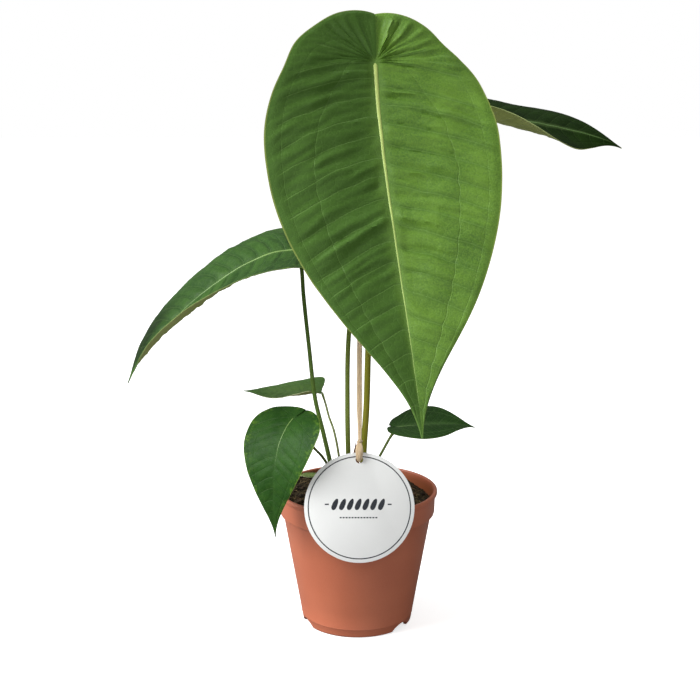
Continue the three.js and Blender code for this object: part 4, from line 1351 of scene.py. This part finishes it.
# The card tag leans on the pot's lip
tag = {
    "radius": 39, "thickness": 0.8, "lean": 12, "rise": 5.1, "shift": 1.2, "lipGap": 0.3,
    "holeRadius": 2.5, "holeUp": 34, "cadThickness": 1.0,
    "ringRadius": 36.1, "ringWidth": 0.75, "inkThickness": 0.12,
}
lean = math.radians(tag["lean"])
tagUp = Vector((0, math.sin(lean), math.cos(lean)))
tagFront = Vector((0, -math.cos(lean), math.sin(lean)))
lipTouch = Vector((0, -(pot["rimRadius"] - 1), pot["height"] - 1)) + tagFront
tagCentre = lipTouch + tagFront * (tag["lipGap"] + tag["cadThickness"] / 2)
tagCentre += tagUp * tag["rise"] + Vector((tag["shift"], 0, 0))
tagTurn = Matrix.Rotation(math.pi / 2 - lean, 4, "X")
tagPlace = Matrix.Scale(mm, 4) @ Matrix.Translation(tagCentre) @ tagTurn

bpy.ops.mesh.primitive_cylinder_add(
    vertices=192, radius=tag["radius"], depth=tag["thickness"], location=(0, 0, 0)
)
card = bpy.context.object
applyModifier(card, "BEVEL", width=0.18, segments=2, limit_method="ANGLE", angle_limit=math.radians(50))
bpy.ops.mesh.primitive_cylinder_add(
    vertices=48, radius=tag["holeRadius"], depth=4, location=(0, tag["holeUp"], 0)
)
cutAway(card, bpy.context.object)
card.data.transform(tagPlace)
cardMaterial, tree, shader = startMaterial("whiteCard", 0.55, 0.35)
place = objectPlace(tree)
spots = mottled(tree, place, 30.0, 1500.0)
strands = fibrous(tree, place, (1.0, 1.0, 0.5), 1200.0)
base = tint(tree, spots["Patches"], colour(0.80, 0.81, 0.80), colour(0.83, 0.84, 0.83))
base = wash(tree, base, strands["Lines"], 0.08, colour(0.70, 0.70, 0.69))
# painted shade: the card's cut edge inside the hole is darkened to a shadowed brown
holeCentre = (tagCentre + tagUp * tag["holeUp"]) * mm
fromHole = put(tree, "VectorMath", {0: place, 1: holeCentre}, operation="DISTANCE").outputs["Value"]
rimOut, rimIn = (tag["holeRadius"] + 0.3) * mm, (tag["holeRadius"] + 0.12) * mm
base = tint(tree, fadeIn(tree, fromHole, rimOut, rimIn), base, colour(0.22, 0.11, 0.06))
joinShader(tree, shader, base, strands["Lines"], 0.15, 0.0001)
card.data.materials.append(cardMaterial)
smooth(card, 30)
finish(card, "cardTag", "white_card", "name_tag")

# Print on the card: a ring, a row of leaf shapes between two dashes, and a dotted line
inkMaterial, tree, shader = startMaterial("cardInk", 0.6, 0.3)
spots = mottled(tree, objectPlace(tree), 300.0, 2500.0)
base = tint(tree, spots["Speckle"], colour(0.012, 0.014, 0.020), colour(0.04, 0.045, 0.055))
tree.links.new(base, shader.inputs["Base Color"])
inkZ = tag["thickness"] / 2


def inkShape(places):
    bpy.ops.mesh.primitive_circle_add(
        vertices=len(places), radius=1, fill_type="NGON", location=(0, 0, 0)
    )
    shape = bpy.context.object
    for corner, (x, y) in zip(shape.data.vertices, places):
        corner.co = (x, y, inkZ)
    return shape


def bar(x, y, width, height):
    return inkShape([(x - width / 2, y - height / 2), (x + width / 2, y - height / 2),
                     (x + width / 2, y + height / 2), (x - width / 2, y + height / 2)])


def leafMark(x, y, tall, wide, turn):
    spots = []
    corners = 36
    c, d = math.cos(turn), math.sin(turn)
    for i in range(corners):
        t = 2 * math.pi * i / corners
        a = 0.5 * wide * math.sin(t) * (1 - 0.25 * math.cos(t))
        b = 0.5 * tall * math.copysign(abs(math.cos(t)) ** 0.8, math.cos(t))
        spots.append((x + a * c - b * d, y + a * d + b * c))
    return inkShape(spots)


ringOut = tag["ringRadius"] + tag["ringWidth"] / 2
ringIn = tag["ringRadius"] - tag["ringWidth"] / 2
bpy.ops.mesh.primitive_circle_add(
    vertices=200, radius=ringOut, fill_type="NOTHING", location=(0, 0, inkZ)
)
ring = bpy.context.object
editAll(ring)
bpy.ops.mesh.extrude_region_move()
bpy.ops.transform.resize(value=(ringIn / ringOut, ringIn / ringOut, 1))
leaveEdit()
bpy.ops.object.transform_apply(location=True, rotation=True, scale=True)
prints = [ring, bar(-23.0, 2.4, 2.8, 0.9), bar(21.4, 2.4, 2.8, 0.9)]
prints += [leafMark(-17.2 + 5.5 * i, 2.4, 8.6, 3.5, -0.4) for i in range(7)]
prints += [bar(-13.2 + 2.1 * i, -7.0, 1.4, 0.9) for i in range(13)]
joinPieces(ring, prints[1:])
faceOut(ring)
applyModifier(ring, "SOLIDIFY", thickness=tag["inkThickness"], offset=0)
faceOut(ring)
ring.data.transform(tagPlace)
ring.data.materials.append(inkMaterial)
finish(ring, "cardPrint", "white_card")
print("tag done")


# The raffia tie goes round two stalks and through the card's hole
tie = {"width": 3.8, "thickness": 0.32}


def byTagHole(across, up, out):
    return tagCentre + tagUp * (tag["holeUp"] + up) + tagFront * out + Vector((across, 0, 0))


# each stop: its place and how wide the strip is there, as a share of its full width
overStalks = [
    ((3.7, -6.4, 156.6), 0.9), ((8.1, -7, 156), 0.9), ((12.5, -5, 155.4), 0.9), ((13.8, 0, 154.8), 0.9),
    ((10.5, 5.4, 154), 0.9), ((3.6, 11, 153.2), 0.9), ((-3, 14.6, 152.8), 0.9), ((-8.6, 14, 152.4), 0.9),
    ((-9.8, 9, 152), 0.9), ((-5.6, 4, 151.8), 0.85), ((-1, -2, 150.8), 0.85), ((1.1, -7, 146), 0.85),
    ((1.5, -10, 136), 0.95), ((1.5, -16.5, 118), 1.0), ((1.4, -25, 100), 1.0), ((1.4, -34.8, 82), 1.05),
]
throughTag = [
    ((0.3, 13, 0.6), 0.62), ((0, 9.4, 2.5), 1.25), ((0, 6.4, 3.6), 1.5), ((0, 3.4, 3.8), 1.35),
    ((0, 0.4, 2.7), 1.15), ((0, -0.8, 0), 1.1), ((0, 0.4, -2.7), 1.1), ((0, 3.4, -3.8), 1.0),
    ((0, 6.4, -3.6), 1.2), ((-0.2, 9, -2.6), 0.9), ((-0.6, 11.2, -1.6), 0.6),
]
stops = [Vector(p) + Vector((0, 0, soilLevel)) for p, _ in overStalks]
stops += [byTagHole(*p) for p, _ in throughTag]
widths = [w for _, w in overStalks + throughTag]
tieRoute, tieLength = smoothRoute(stops, 190)


def stopShare(spot):
    best, share = 1e9, 0.0
    for i in range(len(stops) - 1):
        a, b = stops[i], stops[i + 1]
        t = clamp((spot - a).dot(b - a) / (b - a).length_squared)
        gap = (a.lerp(b, t) - spot).length
        if gap < best:
            best, share = gap, i + t
    return share


def addStrip(route, widthAt, sidewaysAt, thickness, cupAt=lambda i: 0.25, cells=10):
    strip = bmesh.new()
    rows = []
    for i, spot in enumerate(route):
        forward = (route[min(i + 1, len(route) - 1)] - route[max(i - 1, 0)]).normalized()
        sideways = sidewaysAt(i)
        sideways = (sideways - forward * sideways.dot(forward)).normalized()
        outward = sideways.cross(forward)
        row = []
        for k in range(cells + 1):
            a = 2 * k / cells - 1
            ripple = 0.22 * noise.noise(Vector((a * 3.1, i * 0.11, 4.0))) + cupAt(i) * (a * a - 0.4)
            row.append(strip.verts.new((spot + sideways * (a * widthAt(i) / 2) + outward * ripple) * mm))
        rows.append(row)
    for low, high in zip(rows, rows[1:]):
        for k in range(cells):
            strip.faces.new((low[k], low[k + 1], high[k + 1], high[k]))
    bpy.ops.mesh.primitive_plane_add(size=0.01, location=(0, 0, 0))
    piece = bpy.context.object
    strip.to_mesh(piece.data)
    strip.free()
    layers = piece.data.uv_layers
    layer = layers[0] if layers else layers.new(name="strip")
    count = cells + 1
    for loop in piece.data.loops:
        across, down = loop.vertex_index % count, loop.vertex_index // count
        layer.data[loop.index].uv = (across / cells, down / len(route))
    applyModifier(piece, "SOLIDIFY", thickness=thickness * mm, offset=0)
    applyModifier(piece, "SUBSURF", levels=1, render_levels=1)
    smooth(piece)
    return piece


shares = [stopShare(spot) for spot in tieRoute]


def tieWidth(i):
    place = clamp(shares[i], 0, len(widths) - 1.001)
    k = int(place)
    frayed = 1 + 0.05 * noise.noise(Vector((i * 0.15, 0, 8)))
    return tie["width"] * mix(widths[k], widths[k + 1], place - k) * frayed


def tieSideways(i):
    turned = ease(shares[i], 9.2, 11.6)
    return Vector((0, 0, 1)).lerp(Vector((1, 0.06, 0)), turned).normalized()


# the strip bunches up where it fills the card's hole, and is rounded on the card's face
def tieCup(i):
    fromHole = shares[i] - (len(overStalks) + 5)
    bunched = 2.6 * math.exp(-(fromHole / 0.75) ** 2)
    return 0.25 + bunched + 0.9 * math.exp(-((fromHole + 2.6) / 1.3) ** 2)


raffiaMaterial, tree, shader = startMaterial("raffia", 0.6, 0.25)
place = put(tree, "TexCoord").outputs["UV"]
strands = fibrous(tree, place, (1.0, 0.9, 1.0), 11.0)
fine = fibrous(tree, place, (3.4, 1.6, 1.0), 16.0)
base = tint(tree, strands["Bands"], colour(0.97, 0.70, 0.41), colour(1.0, 0.84, 0.58))
# painted shade: the fine dark brown lines stand for the shadows between the raffia's strands
base = wash(tree, base, fine["Lines"], 0.7, colour(0.48, 0.28, 0.13))
base = wash(tree, base, strands["Lines"], 0.35, colour(0.92, 0.78, 0.56))
joinShader(tree, shader, base, fine["Lines"], 0.9, 0.00035)

tiePiece = addStrip(tieRoute, tieWidth, tieSideways, tie["thickness"], tieCup)
tiePiece.data.materials.append(raffiaMaterial)
finish(tiePiece, "raffiaTie", "raffia", "raffia_tie")
print("raffia done, length mm:", round(tieLength, 1))


# the small knot that holds the tie's two runs together above the card
knotRoute = []
for i in range(29):
    turn = 2 * math.pi * i / 26
    knotTurn = Vector((1.75 * math.cos(turn), 1.15 * math.sin(turn), 0.35 * math.sin(turn * 0.5)))
    knotRoute.append(byTagHole(0.3, 12.6, 0.7) + knotTurn)
knotPiece = addStrip(
    knotRoute, lambda i: 2.1 + 0.3 * math.sin(i * 0.9),
    lambda i: Vector((0.25, 0, 1)).normalized(), tie["thickness"],
)
knotPiece.data.materials.append(raffiaMaterial)
finish(knotPiece, "raffiaKnot", "raffia")


# Floor and room
bpy.ops.mesh.primitive_plane_add(size=14, location=(0, 0, 0))
floor = bpy.context.object
floor.name = "studioFloor"
floorMaterial, tree, shader = startMaterial("paleFloor", 0.7, 0.2)
place = objectPlace(tree)
spots = mottled(tree, place, 2.0, 60.0)
seen = put(tree, "LightPath").outputs["Is Camera Ray"]
pale = tint(tree, spots["Patches"], colour(0.84, 0.84, 0.84), colour(0.86, 0.86, 0.86))
tree.links.new(tint(tree, seen, colour(0.22, 0.22, 0.22), pale), shader.inputs["Base Color"])
shader.inputs["Emission Color"].default_value = (1, 1, 1, 1)
away = put(tree, "VectorMath", {0: place}, operation="LENGTH").outputs["Value"]
lift = fadeIn(tree, away, 0.2, 1.4, *studio["floorLift"])
tree.links.new(times(tree, seen, lift), shader.inputs["Emission Strength"])
floor.data.materials.append(floorMaterial)

room = bpy.data.worlds.new("studioRoom")
room.use_nodes = True
bpy.context.scene.world = room
tree = room.node_tree
seen = put(tree, "LightPath").outputs["Is Camera Ray"]
background = tree.nodes["Background"]
background.inputs["Color"].default_value = (1, 1, 1, 1)
glow = calc(tree, "ADD", times(tree, seen, 1.0 - studio["room"]), studio["room"])
tree.links.new(glow, background.inputs["Strength"])
